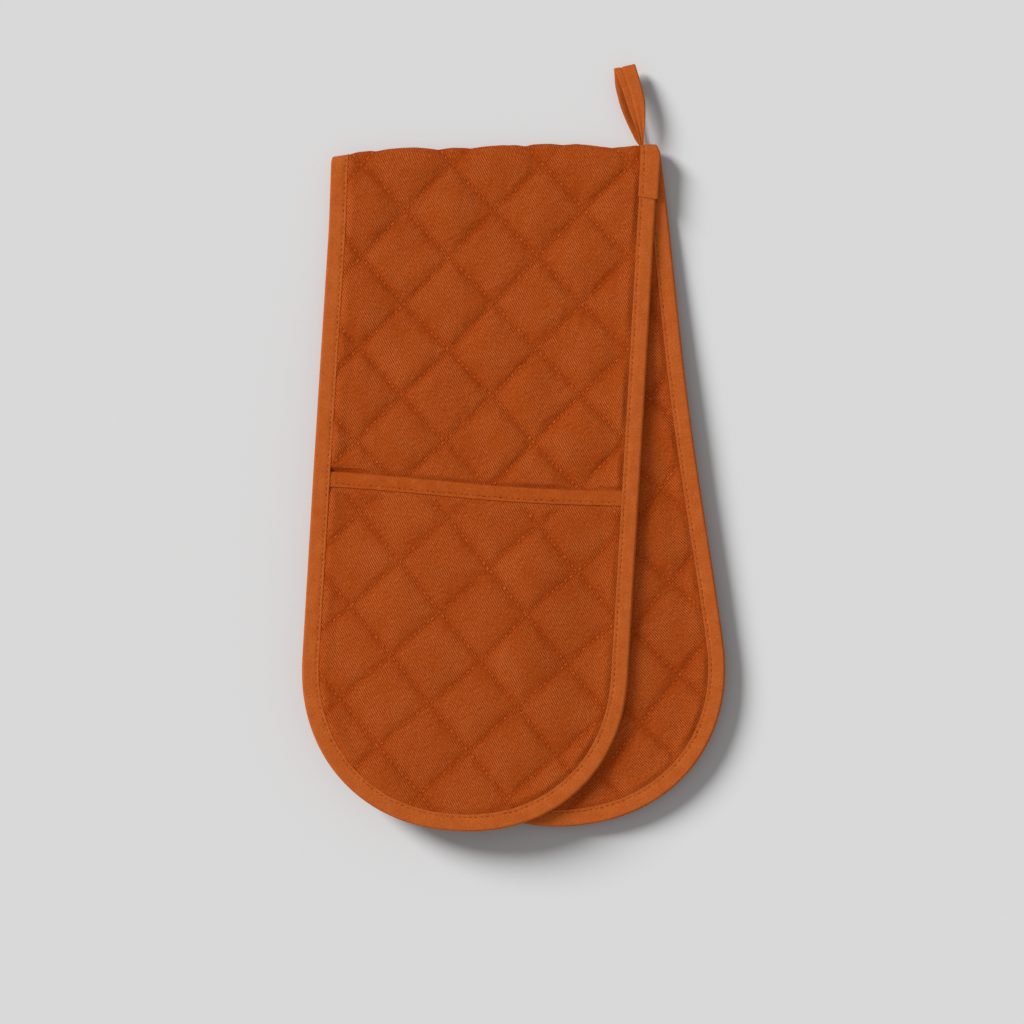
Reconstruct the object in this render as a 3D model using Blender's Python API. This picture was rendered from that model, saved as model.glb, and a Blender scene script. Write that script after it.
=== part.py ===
"""Double oven glove: a quilted strip with a hand pocket at each end, bound with tape and folded in two.

The strip is described flat, in its own plan: u runs across it, v along it from the middle of the crease,
positive on the back half and negative on the front half. The level q of a layer is its distance from the
surface where the two halves meet. place() folds the strip: the back half lies below, the front half on top.
Metres, +Z up, the fold towards +Y, the whole glove resting on its back pocket.
"""
import math

import bmesh
import bpy
from mathutils import Vector
from mathutils.geometry import delaunay_2d_cdt

# Strip
GLOVE_WIDTH = 0.190
HALF_LENGTH = 0.400
TIP_LENGTH = 0.096
TIP_ROUNDING = 2.15
CREASE_SKEW = math.radians(5.35)
POCKET_DEPTH = 0.2025

# Materials' thicknesses
CLOTH = 0.0004
TAPE = 0.0006
CLEARANCE = 0.0003
EDGE_WADDING = 0.0008
POCKET_WADDING = 0.0014
MOUTH_WADDING = 0.0005
SEAM_MARGIN = 0.0010
THREAD_RADIUS = 0.00025

# Tapes
BINDING_WIDTH = 0.0100
MOUTH_WIDTH = 0.0088
STITCH_INSET = 0.0012

# Quilting
PUFF = 0.0009
BODY_PITCH_ACROSS = 0.0522
BODY_PITCH_ALONG = 0.0544
BODY_QUILT_TURN = math.radians(-2.7)
BODY_CROSSING_U = 0.0036
BODY_CROSSING_V = 0.0916
POCKET_PITCH_ACROSS = 0.0517
POCKET_PITCH_ALONG = 0.0537
POCKET_CROSSING_U = 0.0322
POCKET_CROSSING_V = 0.3262
PUFF_FADE = 0.0070

# Lie of the folded glove
HAND_GAP = 0.0053
CROWN_RUN = 0.0320
DRAPE_START = 0.0080
LEVEL_RUN = 0.0195
BACK_SAG = 0.0040
FOLD_LIFT = 0.0002
BACK_FILL = 0.0018
MOUTH_STEP = 0.0120
LIP_STEP = 0.0120

# Hanging loop
LOOP_LENGTH = 0.0480
LOOP_WIDTH = 0.0125
LOOP_NECK = 0.0055
LOOP_TAPE = 0.0009
LOOP_GAP = 0.0050
LOOP_TAPER = 0.0240
LOOP_INSET = 0.0096
LOOP_LEAN = math.radians(10.4)
LOOP_SHAPE_SHARE = 0.4

# Overlap of the edge tape beside the fold
JOIN_WIDTH = 0.0110
JOIN_LENGTH = 0.0330

# Steps of curved stretches
TIP_STEPS = 24
ARC_STEPS = 6
DRAPE_STEPS = 6
CROWN_STEPS = 3
LOOP_STEPS = 16
QUILT_PIECES = 3
WELD = 1e-7
SHARP_ANGLE = math.radians(40)

CLOTH_COLOUR = (0.376, 0.058, 0.006, 1.0)
TAPE_COLOUR = (0.462, 0.098, 0.019, 1.0)
WADDING_COLOUR = (0.80, 0.78, 0.72, 1.0)
THREAD_COLOUR = (0.520, 0.130, 0.030, 1.0)
CLOTH_ROUGHNESS = 0.9
TAPE_ROUGHNESS = 0.85
THREAD_ROUGHNESS = 0.7

HALF_WIDTH = GLOVE_WIDTH / 2
TIP_START = HALF_LENGTH - TIP_LENGTH
MOUTH = HALF_LENGTH - POCKET_DEPTH
DRAPE_END = MOUTH - LEVEL_RUN
SKEW_SIN = math.sin(CREASE_SKEW)
SKEW_COS = math.cos(CREASE_SKEW)

# Levels under the edge tape, from the meeting surface outwards
MEETING = CLEARANCE
INNER_CLOTH = MEETING + TAPE + CLEARANCE
WADDING = INNER_CLOTH + CLOTH + CLEARANCE
OUTER_CLOTH = WADDING + EDGE_WADDING + CLEARANCE
OUTER_FACE = OUTER_CLOTH + CLOTH
LIP = OUTER_FACE + CLEARANCE
LIP_FACE = LIP + TAPE
POCKET_LIP = LIP + SEAM_MARGIN + CLEARANCE

# Levels of the pocket, low at its sewn edge and high over the hand's room
EDGE_LINING = OUTER_FACE + CLEARANCE
EDGE_COVER = EDGE_LINING + 2 * CLOTH + 2 * CLEARANCE
HIGH_LINING = OUTER_FACE + HAND_GAP
HIGH_COVER = HIGH_LINING + CLOTH + POCKET_WADDING + 2 * CLEARANCE
HIGH_FACE = HIGH_COVER + CLOTH
STACK_MIDDLE = HIGH_FACE + BACK_FILL

PANEL_INSET = TAPE + CLEARANCE
POCKET_INSET = BINDING_WIDTH + CLEARANCE
THREAD_STAND = CLEARANCE + 2 * THREAD_RADIUS
FOLD_MIDDLE = LIP_FACE + THREAD_STAND + FOLD_LIFT
QUARTER_ARC = LIP_FACE * math.pi / 2
HINGE_RUN = QUARTER_ARC / 2
MOUTH_LIFT = HIGH_COVER - MOUTH_WADDING - CLOTH - 2 * CLEARANCE - HIGH_LINING


def clamp(value):
    return max(0.0, min(1.0, value))


def eased(share, steps):
    """Smooth rise from 0 to 1, straight between its steps, so that layers over each other stay nested."""
    place_in_steps = clamp(share) * steps
    low = min(int(place_in_steps), steps - 1)
    ease = [(k / steps) ** 2 * (3 - 2 * k / steps) for k in (low, low + 1)]
    return ease[0] + (ease[1] - ease[0]) * (place_in_steps - low)


def inset_at(u, v):
    """Distance in from the strip's edge, measured on contours of the same shape as the edge."""
    beyond = abs(v) - TIP_START
    if beyond <= 0:
        return HALF_WIDTH - abs(u)
    across = (abs(u) / HALF_WIDTH) ** TIP_ROUNDING
    along = (beyond / TIP_LENGTH) ** TIP_ROUNDING
    return HALF_WIDTH * (1 - (across + along) ** (1 / TIP_ROUNDING))


def crown(u, v):
    return eased((inset_at(u, v) - POCKET_INSET) / CROWN_RUN, CROWN_STEPS)


def unfolded(u, v):
    """Distance past the crease of a point of the strip, positive on the back half."""
    return v * SKEW_COS - u * SKEW_SIN


def along_at(distance, u):
    """The v at which the line at this distance past the crease meets this u."""
    return (distance + u * SKEW_SIN) / SKEW_COS


def drape(run):
    return eased((run - DRAPE_START) / (DRAPE_END - DRAPE_START), DRAPE_STEPS)


def place(u, v, q):
    """Point of the folded glove for a point of the flat strip."""
    distance = unfolded(u, v)
    side = 1 if distance >= 0 else -1
    x = u * SKEW_COS + v * SKEW_SIN
    run = abs(distance) - QUARTER_ARC
    if run < 0:
        angle = abs(distance) / QUARTER_ARC * math.pi / 2
        return Vector((x, q * math.cos(angle), FOLD_MIDDLE - side * q * math.sin(angle)))
    rise = drape(run)
    middle = FOLD_MIDDLE + (STACK_MIDDLE - FOLD_MIDDLE) * rise
    if side > 0:
        middle -= BACK_SAG * rise * (1 - crown(u, v))
    return Vector((x, -run, middle - side * q))


class Quilt:
    """Diamond quilting: two sets of parallel stitched lines, with a puff between each four crossings."""

    def __init__(self, crossing, pitches, turn):
        self.crossing = crossing
        self.pitches = pitches
        self.turn = turn

    def cell(self, u, v):
        du = u - self.crossing[0]
        dv = abs(v) - self.crossing[1]
        a = (du * math.cos(self.turn) + dv * math.sin(self.turn)) / self.pitches[0]
        b = (dv * math.cos(self.turn) - du * math.sin(self.turn)) / self.pitches[1]
        return a + b, a - b

    def point(self, first, second, side):
        a = (first + second) / 2 * self.pitches[0]
        b = (first - second) / 2 * self.pitches[1]
        u = self.crossing[0] + a * math.cos(self.turn) - b * math.sin(self.turn)
        v = self.crossing[1] + a * math.sin(self.turn) + b * math.cos(self.turn)
        return u, side * v

    def puff(self, u, v):
        first, second = self.cell(u, v)
        return math.sqrt(abs(math.sin(math.pi * first) * math.sin(math.pi * second)))

    def lines(self, side, start, end, pieces):
        """Stitched lines between two distances along the strip, each diamond's side in some pieces."""
        reach = 2 * (int(HALF_LENGTH / min(self.pitches)) + 2)
        found = []
        for k in range(-reach, reach + 1):
            for step in range(-reach * pieces, reach * pieces):
                near, far = step / pieces, (step + 1) / pieces
                for one, other in (((k, near), (k, far)), ((near, k), (far, k))):
                    cut = cut_to(self.point(*one, side), self.point(*other, side), side, start, end)
                    if cut:
                        found.append(cut)
        return found

    def spots(self, side, offsets):
        """Points inside each diamond at these offsets from its middle."""
        reach = 2 * (int(HALF_LENGTH / min(self.pitches)) + 2)
        middles = [(j + 0.5, k + 0.5) for j in range(-reach, reach) for k in range(-reach, reach)]
        return [self.point(j + dj, k + dk, side) for j, k in middles for dj, dk in offsets]


def cut_to(first, second, side, start, end):
    """The stretch of a line of the plan inside the strip's width and between start and end along it."""
    low, high = 0.0, 1.0
    bounds = ((0, 1, HALF_WIDTH), (0, -1, HALF_WIDTH), (1, side, end), (1, -side, -start))
    for axis, sign, limit in bounds:
        a = sign * first[axis] - limit
        b = sign * second[axis] - limit
        if a > 0 and b > 0:
            return None
        if a > 0:
            low = max(low, a / (a - b))
        elif b > 0:
            high = min(high, a / (a - b))
    if low >= high:
        return None
    return [tuple(p + (q - p) * share for p, q in zip(first, second)) for share in (low, high)]


BODY_QUILT = Quilt(
    (BODY_CROSSING_U, BODY_CROSSING_V),
    (BODY_PITCH_ACROSS, BODY_PITCH_ALONG),
    BODY_QUILT_TURN,
)
POCKET_QUILT = Quilt(
    (POCKET_CROSSING_U, POCKET_CROSSING_V),
    (POCKET_PITCH_ACROSS, POCKET_PITCH_ALONG),
    0,
)
PUFF_SPOTS = ((0, 0), (-0.25, 0), (0.25, 0), (0, -0.25), (0, 0.25))
FLAT_SPOTS = ((0, 0),)


def tip_point(inset, angle):
    """Point of the contour at an inset round the fingertip end, from the +u side (0) to the -u side (pi)."""
    scale = 1 - inset / HALF_WIDTH
    power = 2 / TIP_ROUNDING
    u = math.copysign(abs(math.cos(angle)) ** power, math.cos(angle)) * HALF_WIDTH * scale
    v = TIP_START + TIP_LENGTH * scale * math.sin(angle) ** power
    return u, v


def tip_contour(inset, side):
    found = [tip_point(inset, math.pi * k / TIP_STEPS) for k in range(TIP_STEPS + 1)]
    return [(u, side * v) for u, v in found]


def half_outline(inset, side):
    """Outline of one half from its hinge line to its tip."""
    reach = HALF_WIDTH - inset
    cut = side * (HINGE_RUN + CLEARANCE / 2)
    return [(reach, along_at(cut, reach))] + tip_contour(inset, side) + [(-reach, along_at(cut, -reach))]


def pocket_outline(inset, side, start):
    reach = HALF_WIDTH - inset
    return [(reach, side * start)] + tip_contour(inset, side) + [(-reach, side * start)]


def chain(points):
    return list(zip(points[:-1], points[1:]))


def across_line(v):
    return [(-HALF_WIDTH, v), (HALF_WIDTH, v)]


def outer_arc():
    """Steps past a hinge line to the end of the fold's quarter arc, as distances past the crease."""
    return [QUARTER_ARC * k / ARC_STEPS for k in range(ARC_STEPS // 2 + 1, ARC_STEPS + 1)]


def bends():
    """Distances past the crease at which the fold's arc and the drape change slope."""
    start = QUARTER_ARC + DRAPE_START
    fall = DRAPE_END - DRAPE_START
    return outer_arc() + [start + fall * k / DRAPE_STEPS for k in range(DRAPE_STEPS + 1)]


def rows(side):
    """Lines across the strip at each bend."""
    ends = (-HALF_WIDTH, HALF_WIDTH)
    return [[(u, along_at(side * distance, u)) for u in ends] for distance in bends()]


def rings(insets, side, start):
    """Contours parallel to the edge, as lines."""
    found = []
    for inset in insets:
        found += chain(pocket_outline(inset, side, start))
    return found


def side_lines(insets, side, end):
    """Lines parallel to the strip's long sides, from the hinge line on."""
    reaches = [sign * (HALF_WIDTH - inset) for inset in insets for sign in (-1, 1)]
    return [[(u, along_at(side * HINGE_RUN, u)), (u, side * end)] for u in reaches]


def crown_insets():
    return [POCKET_INSET + CROWN_RUN * k / CROWN_STEPS for k in range(CROWN_STEPS + 1)]


def inside(point, side, inset, start):
    return inset_at(*point) > inset and side * point[1] > start


class Plan:
    """Triangles of a flat outline, shared by every layer that has it."""

    def __init__(self, outline, lines, spots):
        points = [Vector(p) for p in outline]
        if sum(p.x * q.y - q.x * p.y for p, q in zip(points, points[1:] + points[:1])) < 0:
            points.reverse()
        count = len(points)
        edges = []
        for first, second in lines:
            edges.append((len(points), len(points) + 1))
            points += [Vector(first), Vector(second)]
        points += [Vector(p) for p in spots]
        found = delaunay_2d_cdt(points, edges, [list(range(count))], 1, WELD)
        faces = [face for face, outlines in zip(found[2], found[5]) if outlines]
        used = sorted({k for face in faces for k in face})
        number = {k: i for i, k in enumerate(used)}
        self.points = [found[0][k] for k in used]
        self.faces = [[number[k] for k in face] for face in faces]

    def slab(self, name, low, high, finish, parent):
        """Closed slab over the plan between two levels, given as functions of u and v."""
        mesh = bmesh.new()
        under = [mesh.verts.new(place(u, v, low(u, v))) for u, v in self.points]
        over = [mesh.verts.new(place(u, v, high(u, v))) for u, v in self.points]
        sides = {}
        for a, b, c in self.faces:
            mesh.faces.new((over[a], over[b], over[c]))
            mesh.faces.new((under[c], under[b], under[a]))
            for pair in ((a, b), (b, c), (c, a)):
                sides[pair] = sides.get(pair[::-1], pair)
        for a, b in [pair for pair in sides if pair[::-1] not in sides]:
            mesh.faces.new((over[b], over[a], under[a], under[b]))
        return solid(name, mesh, finish, parent)


def solid(name, mesh, finish, parent):
    """Finish a closed mesh as a named object that hangs from its joint."""
    bmesh.ops.recalc_face_normals(mesh, faces=mesh.faces)
    bmesh.ops.triangulate(mesh, faces=mesh.faces)
    data = bpy.data.meshes.new(name)
    bmesh.ops.translate(mesh, verts=mesh.verts, vec=-joint_place(parent))
    mesh.to_mesh(data)
    mesh.free()
    data.shade_smooth()
    data.set_sharp_from_angle(angle=SHARP_ANGLE)
    data.materials.append(finish)
    made = bpy.data.objects.new(name, data)
    bpy.context.collection.objects.link(made)
    made.parent = parent
    return made


def joint_place(parent):
    found = Vector()
    while parent:
        found += parent.location
        parent = parent.parent
    return found


def joint(name, location, parent):
    made = bpy.data.objects.new(name, None)
    bpy.context.collection.objects.link(made)
    made.parent = parent
    made.location = location - joint_place(parent)
    return made


def tube(name, path, finish, parent):
    """Thread along a path of points."""
    curve = bpy.data.curves.new(name, "CURVE")
    curve.dimensions = "3D"
    curve.bevel_depth = THREAD_RADIUS
    curve.bevel_resolution = 0
    curve.use_fill_caps = True
    spline = curve.splines.new("POLY")
    spline.points.add(len(path) - 1)
    origin = joint_place(parent)
    for point, at in zip(spline.points, path):
        point.co = (*(at - origin), 1)
    curve.materials.append(finish)
    made = bpy.data.objects.new(name, curve)
    bpy.context.collection.objects.link(made)
    made.parent = parent
    return made


def swept(name, sections, finish, parent, closed=False):
    """Closed body through equal sections, each a ring of points."""
    mesh = bmesh.new()
    loops = [[mesh.verts.new(point) for point in section] for section in sections]
    count = len(loops[0])
    pairs = list(zip(loops[:-1], loops[1:]))
    if closed:
        pairs.append((loops[-1], loops[0]))
    for first, second in pairs:
        for k in range(count):
            after = (k + 1) % count
            mesh.faces.new((first[k], first[after], second[after], second[k]))
    if not closed:
        mesh.faces.new(loops[0])
        mesh.faces.new(loops[-1][::-1])
    return solid(name, mesh, finish, parent)


def material(name, colour, roughness):
    made = bpy.data.materials.new(name)
    made.use_nodes = True
    shader = made.node_tree.nodes["Principled BSDF"]
    shader.inputs["Base Color"].default_value = colour
    shader.inputs["Roughness"].default_value = roughness
    shader.inputs["Metallic"].default_value = 0.0
    return made


# Levels of the layers

def body_puff(u, v):
    """Height of the body's puffs, fading out at the edge tape and over the fold."""
    near_edge = clamp((inset_at(u, v) - POCKET_INSET) / PUFF_FADE)
    past_fold = clamp((abs(unfolded(u, v)) - QUARTER_ARC) / DRAPE_START)
    return PUFF * near_edge * past_fold * BODY_QUILT.puff(u, v)


def bare_share(v):
    """1 above the pocket's mouth, 0 under the pocket."""
    return clamp((MOUTH + MOUTH_WIDTH - abs(v)) / MOUTH_WIDTH)


def body_cover(u, v):
    return OUTER_CLOTH + body_puff(u, v) * bare_share(v)


def body_inner(u, v):
    return INNER_CLOTH - body_puff(u, v)


def mouth_share(v):
    """1 in the tape that binds the pocket's mouth, 0 well inside the pocket."""
    return clamp(1 - (abs(v) - MOUTH - MOUTH_WIDTH) / MOUTH_STEP)


def pocket_level(edge, high, u, v):
    """Level between the pocket's sewn edge and its crown, with room at the mouth for the inner lip."""
    low = edge + (TAPE + CLEARANCE) * mouth_share(v)
    return low + (high - low) * crown(u, v)


def lining_level(u, v):
    return pocket_level(EDGE_LINING, HIGH_LINING + MOUTH_LIFT * mouth_share(v), u, v)


def cover_base(u, v):
    return pocket_level(EDGE_COVER, HIGH_COVER, u, v)


def cover_level(side):
    """Underside of the pocket's cover: puffed on the front, pressed level on the back where it rests."""
    def level(u, v):
        if side > 0:
            rise = BACK_FILL * crown(u, v)
        else:
            near_edge = clamp((inset_at(u, v) - POCKET_INSET) / PUFF_FADE)
            rise = PUFF * POCKET_QUILT.puff(u, v) * near_edge
        return cover_base(u, v) + rise * (1 - mouth_share(v))
    return level


def lifted(level, rise):
    return lambda u, v: level(u, v) + rise


def flat(level):
    return lambda u, v: level


# Tapes

def tape_section(low, inner_low, inner_high, high, width):
    """C-shaped section of a tape folded over an edge, as (inset, level) pairs."""
    return (
        (width, low),
        (TAPE, low),
        (0, low + TAPE),
        (0, high - TAPE),
        (TAPE, high),
        (width, high),
        (width, inner_high),
        (TAPE, inner_high),
        (TAPE, inner_low),
        (width, inner_low),
    )


def lip_rise(v):
    """How far the edge tape's outer lip is lifted by the pocket's margin."""
    return (POCKET_LIP - LIP) * clamp((abs(v) - MOUTH + LIP_STEP) / (LIP_STEP - STITCH_INSET))


def edge_stations(side):
    """Places along a half's edge, from the +u side of the hinge round the tip, as functions of inset."""
    cut = HINGE_RUN + CLEARANCE / 2

    def slanted(distance, sign):
        def at(inset):
            u = sign * (HALF_WIDTH - inset)
            return u, along_at(side * distance, u)
        return at

    def square(v, sign):
        return lambda inset: (sign * (HALF_WIDTH - inset), side * v)

    def tip(angle):
        def at(inset):
            u, v = tip_point(inset, angle)
            return u, side * v
        return at

    def long_side(sign):
        found = [slanted(distance, sign) for distance in [cut] + bends()]
        lip_places = (MOUTH - LIP_STEP, MOUTH - STITCH_INSET, (MOUTH + TIP_START) / 2)
        found += [square(v, sign) for v in lip_places]
        return sorted(found, key=lambda station: side * station(0)[1])

    return long_side(1) + [tip(math.pi * k / TIP_STEPS) for k in range(TIP_STEPS + 1)] + long_side(-1)[::-1]


def edge_binding(name, side, finish, parent):
    sections = []
    for station in edge_stations(side):
        section = []
        for inset, level in tape_section(MEETING, MEETING + TAPE, LIP, LIP_FACE, BINDING_WIDTH):
            u, v = station(inset)
            rise = lip_rise(v) if level > OUTER_FACE - TAPE else 0
            section.append(place(u, v, level + rise))
        sections.append(section)
    return swept(name, sections, finish, parent)


def edge_thread(name, side, covered, finish, parent):
    """Seam thread along the edge tape, from past the stretch that the tape's overlap covers."""
    inset = BINDING_WIDTH - STITCH_INSET
    path = []
    for station in edge_stations(side):
        u, v = station(inset)
        if u < 0 or abs(unfolded(u, v)) > covered:
            path.append(place(u, v, LIP_FACE + lip_rise(v) + CLEARANCE + THREAD_RADIUS))
    return tube(name, path[1:-1], finish, parent)


def across_pocket(inset):
    """Places across the pocket's mouth, closer together where its crown rises."""
    rise = [HALF_WIDTH - i for i in [inset] + crown_insets()[1:]]
    return rise + [-u for u in rise[::-1]]


def mouth_binding(name, side, finish, parent):
    sections = []
    for u in across_pocket(POCKET_INSET):
        v = side * MOUTH
        low = lining_level(u, v) - CLEARANCE - TAPE
        high = cover_level(side)(u, v) + CLOTH + CLEARANCE + TAPE
        section = tape_section(low, low + TAPE, high - TAPE, high, MOUTH_WIDTH)
        sections.append([place(u, side * (MOUTH + inset), level) for inset, level in section])
    return swept(name, sections, finish, parent)


def mouth_thread(name, side, finish, parent):
    v = side * (MOUTH + MOUTH_WIDTH - STITCH_INSET)
    path = []
    for u in across_pocket(POCKET_INSET + THREAD_RADIUS):
        level = cover_level(side)(u, side * MOUTH) + CLOTH + CLEARANCE + TAPE
        path.append(place(u, v, level + CLEARANCE + THREAD_RADIUS))
    return tube(name, path, finish, parent)


def pocket_seam(name, side, finish, parent):
    """Margin of the pocket's layers, sewn down inside the edge tape."""
    outer, inner = PANEL_INSET, BINDING_WIDTH
    first = pocket_outline(outer, side, MOUTH)
    second = pocket_outline(inner, side, MOUTH)
    plan = Plan(first + second[::-1], [], [])
    return plan.slab(name, flat(LIP), flat(LIP + SEAM_MARGIN), finish, parent)


def binding_join(name, side, finish, parent):
    """Second layer of the edge tape beside the fold, where its end overlaps its start."""
    top = LIP_FACE + CLEARANCE
    outside = -CLEARANCE - TAPE
    section = (
        (JOIN_WIDTH, top),
        (-CLEARANCE, top),
        (-CLEARANCE, MEETING + TAPE),
        (outside, MEETING + TAPE),
        (outside, top),
        (outside + TAPE, top + TAPE),
        (JOIN_WIDTH, top + TAPE),
    )
    start = HINGE_RUN + CLEARANCE / 2
    distances = [start] + outer_arc() + [QUARTER_ARC + DRAPE_START, JOIN_LENGTH]
    sections = []
    for distance in distances:
        ring = []
        for inset, level in section:
            u = HALF_WIDTH - inset
            ring.append(place(u, along_at(side * distance, u), level))
        sections.append(ring)
    return swept(name, sections, finish, parent)


# Fold

def fold_distances():
    half = HINGE_RUN - CLEARANCE / 2
    return [half - 2 * half * k / ARC_STEPS for k in range(ARC_STEPS + 1)]


def fold_layer(name, low, high, finish, parent):
    """Layer of the strip between the two hinge lines."""
    reach = HALF_WIDTH - PANEL_INSET
    sections = []
    for distance in fold_distances():
        corners = ((-reach, low), (reach, low), (reach, high), (-reach, high))
        sections.append([place(u, along_at(distance, u), level) for u, level in corners])
    return swept(name, sections, finish, parent)


def fold_binding(name, sign, finish, parent):
    section = tape_section(MEETING, MEETING + TAPE, LIP, LIP_FACE, BINDING_WIDTH)
    sections = []
    for distance in fold_distances():
        ring = []
        for inset, level in section:
            u = sign * (HALF_WIDTH - inset)
            ring.append(place(u, along_at(distance, u), level))
        sections.append(ring)
    return swept(name, sections, finish, parent)


def hanging_loop(name, neck, finish, parent):
    """Loop of tape, narrow at its neck, standing out from the fold with a gap for a hook."""
    lean = (math.sin(-LOOP_LEAN), math.cos(-LOOP_LEAN))

    def lens(share):
        return (4 * share * (1 - share)) ** LOOP_SHAPE_SHARE

    sections = []
    for k in range(2 * LOOP_STEPS):
        turn = math.pi * k / LOOP_STEPS
        share = (1 - math.cos(turn)) / 2
        sign = 1 if k <= LOOP_STEPS else -1
        outer = (share * LOOP_LENGTH, sign * lens(share) * (LOOP_GAP / 2 + LOOP_TAPE))
        inner = (LOOP_TAPE + share * (LOOP_LENGTH - 2 * LOOP_TAPE), sign * lens(share) * LOOP_GAP / 2)
        ring = []
        for (along, height), edge in ((outer, -1), (outer, 1), (inner, 1), (inner, -1)):
            taper = clamp(along / LOOP_TAPER)
            width = LOOP_NECK + (LOOP_WIDTH - LOOP_NECK) * taper ** 2 * (3 - 2 * taper)
            across = edge * width / 2
            x = neck.x + lean[0] * along + lean[1] * across
            y = neck.y + lean[1] * along - lean[0] * across
            ring.append(Vector((x, y, neck.z + height)))
        sections.append(ring)
    return swept(name, sections, finish, parent, closed=True)


# Assembly

def hinge_place(side):
    """Middle of a fold hinge, on the outer face of the edge tape halfway round the quarter arc."""
    return place(0, along_at(side * HINGE_RUN, 0), LIP_FACE)


def pocket_hinge_place(side):
    """Middle of the line at the pocket's tip about which its mouth opens."""
    v = tip_point(POCKET_INSET, math.pi / 2)[1]
    return place(0, side * v, EDGE_COVER + CLOTH)


def half_body(label, side, cloth, wadding, parent):
    outline = half_outline(PANEL_INSET, side)
    across = rows(side)
    crowns = rings(crown_insets(), side, TIP_START) if side > 0 else []
    sides = side_lines(crown_insets(), side, TIP_START) if side > 0 else []
    plain = Plan(outline, across + crowns + sides, [])

    fade = [POCKET_INSET, POCKET_INSET + PUFF_FADE]
    start = along_at(QUARTER_ARC, HALF_WIDTH)
    end = MOUTH + MOUTH_WIDTH if side < 0 else HALF_LENGTH
    edge_lines = rings(fade, side, TIP_START) if side > 0 else []
    edge_lines += side_lines(fade, side, min(end, TIP_START))
    stitched = BODY_QUILT.lines(side, start, end, QUILT_PIECES if side > 0 else 1)
    spots = [p for p in BODY_QUILT.spots(side, PUFF_SPOTS if side < 0 else FLAT_SPOTS)
             if inside(p, side, POCKET_INSET + PUFF_FADE, start) and side * p[1] < end]
    across_mouth = [across_line(side * at) for at in (MOUTH, MOUTH + MOUTH_WIDTH)] if side < 0 else []
    quilted = Plan(outline, across + crowns + sides + edge_lines + stitched + across_mouth, spots)

    seen, hidden = (quilted, plain) if side < 0 else (plain, quilted)
    outer = body_cover if side < 0 else flat(OUTER_CLOTH)
    inner = body_inner if side > 0 else flat(INNER_CLOTH)
    seen.slab(label + "_outer_cloth", outer, lifted(outer, CLOTH), cloth, parent)
    plain.slab(label + "_wadding", flat(WADDING), flat(WADDING + EDGE_WADDING), wadding, parent)
    hidden.slab(label + "_inner_cloth", inner, lifted(inner, CLOTH), cloth, parent)


def pocket(label, side, cloth, wadding, tape, thread, parent):
    start = MOUTH + TAPE + CLEARANCE
    outline = pocket_outline(POCKET_INSET, side, start)
    steps = [MOUTH + MOUTH_WIDTH, MOUTH + MOUTH_WIDTH + MOUTH_STEP]
    across = [across_line(side * at) for at in steps]
    crowns = rings(crown_insets()[1:], side, start)
    plain = Plan(outline, across + crowns, [])
    fade = rings([POCKET_INSET + PUFF_FADE], side, start)
    stitched = POCKET_QUILT.lines(side, start, HALF_LENGTH, QUILT_PIECES)
    spots = [p for p in POCKET_QUILT.spots(side, PUFF_SPOTS)
             if inside(p, side, POCKET_INSET + PUFF_FADE, steps[1])]
    quilted = Plan(outline, across + crowns + fade + stitched, spots) if side < 0 else plain
    cover = cover_level(side)
    quilted.slab(label + "_cover", cover, lifted(cover, CLOTH), cloth, parent)
    filling = cover if side > 0 else cover_base
    under = lifted(lining_level, CLOTH + CLEARANCE)
    plain.slab(label + "_wadding", under, lifted(filling, -CLEARANCE), wadding, parent)
    plain.slab(label + "_lining", lining_level, lifted(lining_level, CLOTH), cloth, parent)
    mouth_binding(label.replace("pocket", "mouth") + "_binding", side, tape, parent)
    mouth_thread(label.replace("pocket", "mouth") + "_thread", side, thread, parent)


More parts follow.
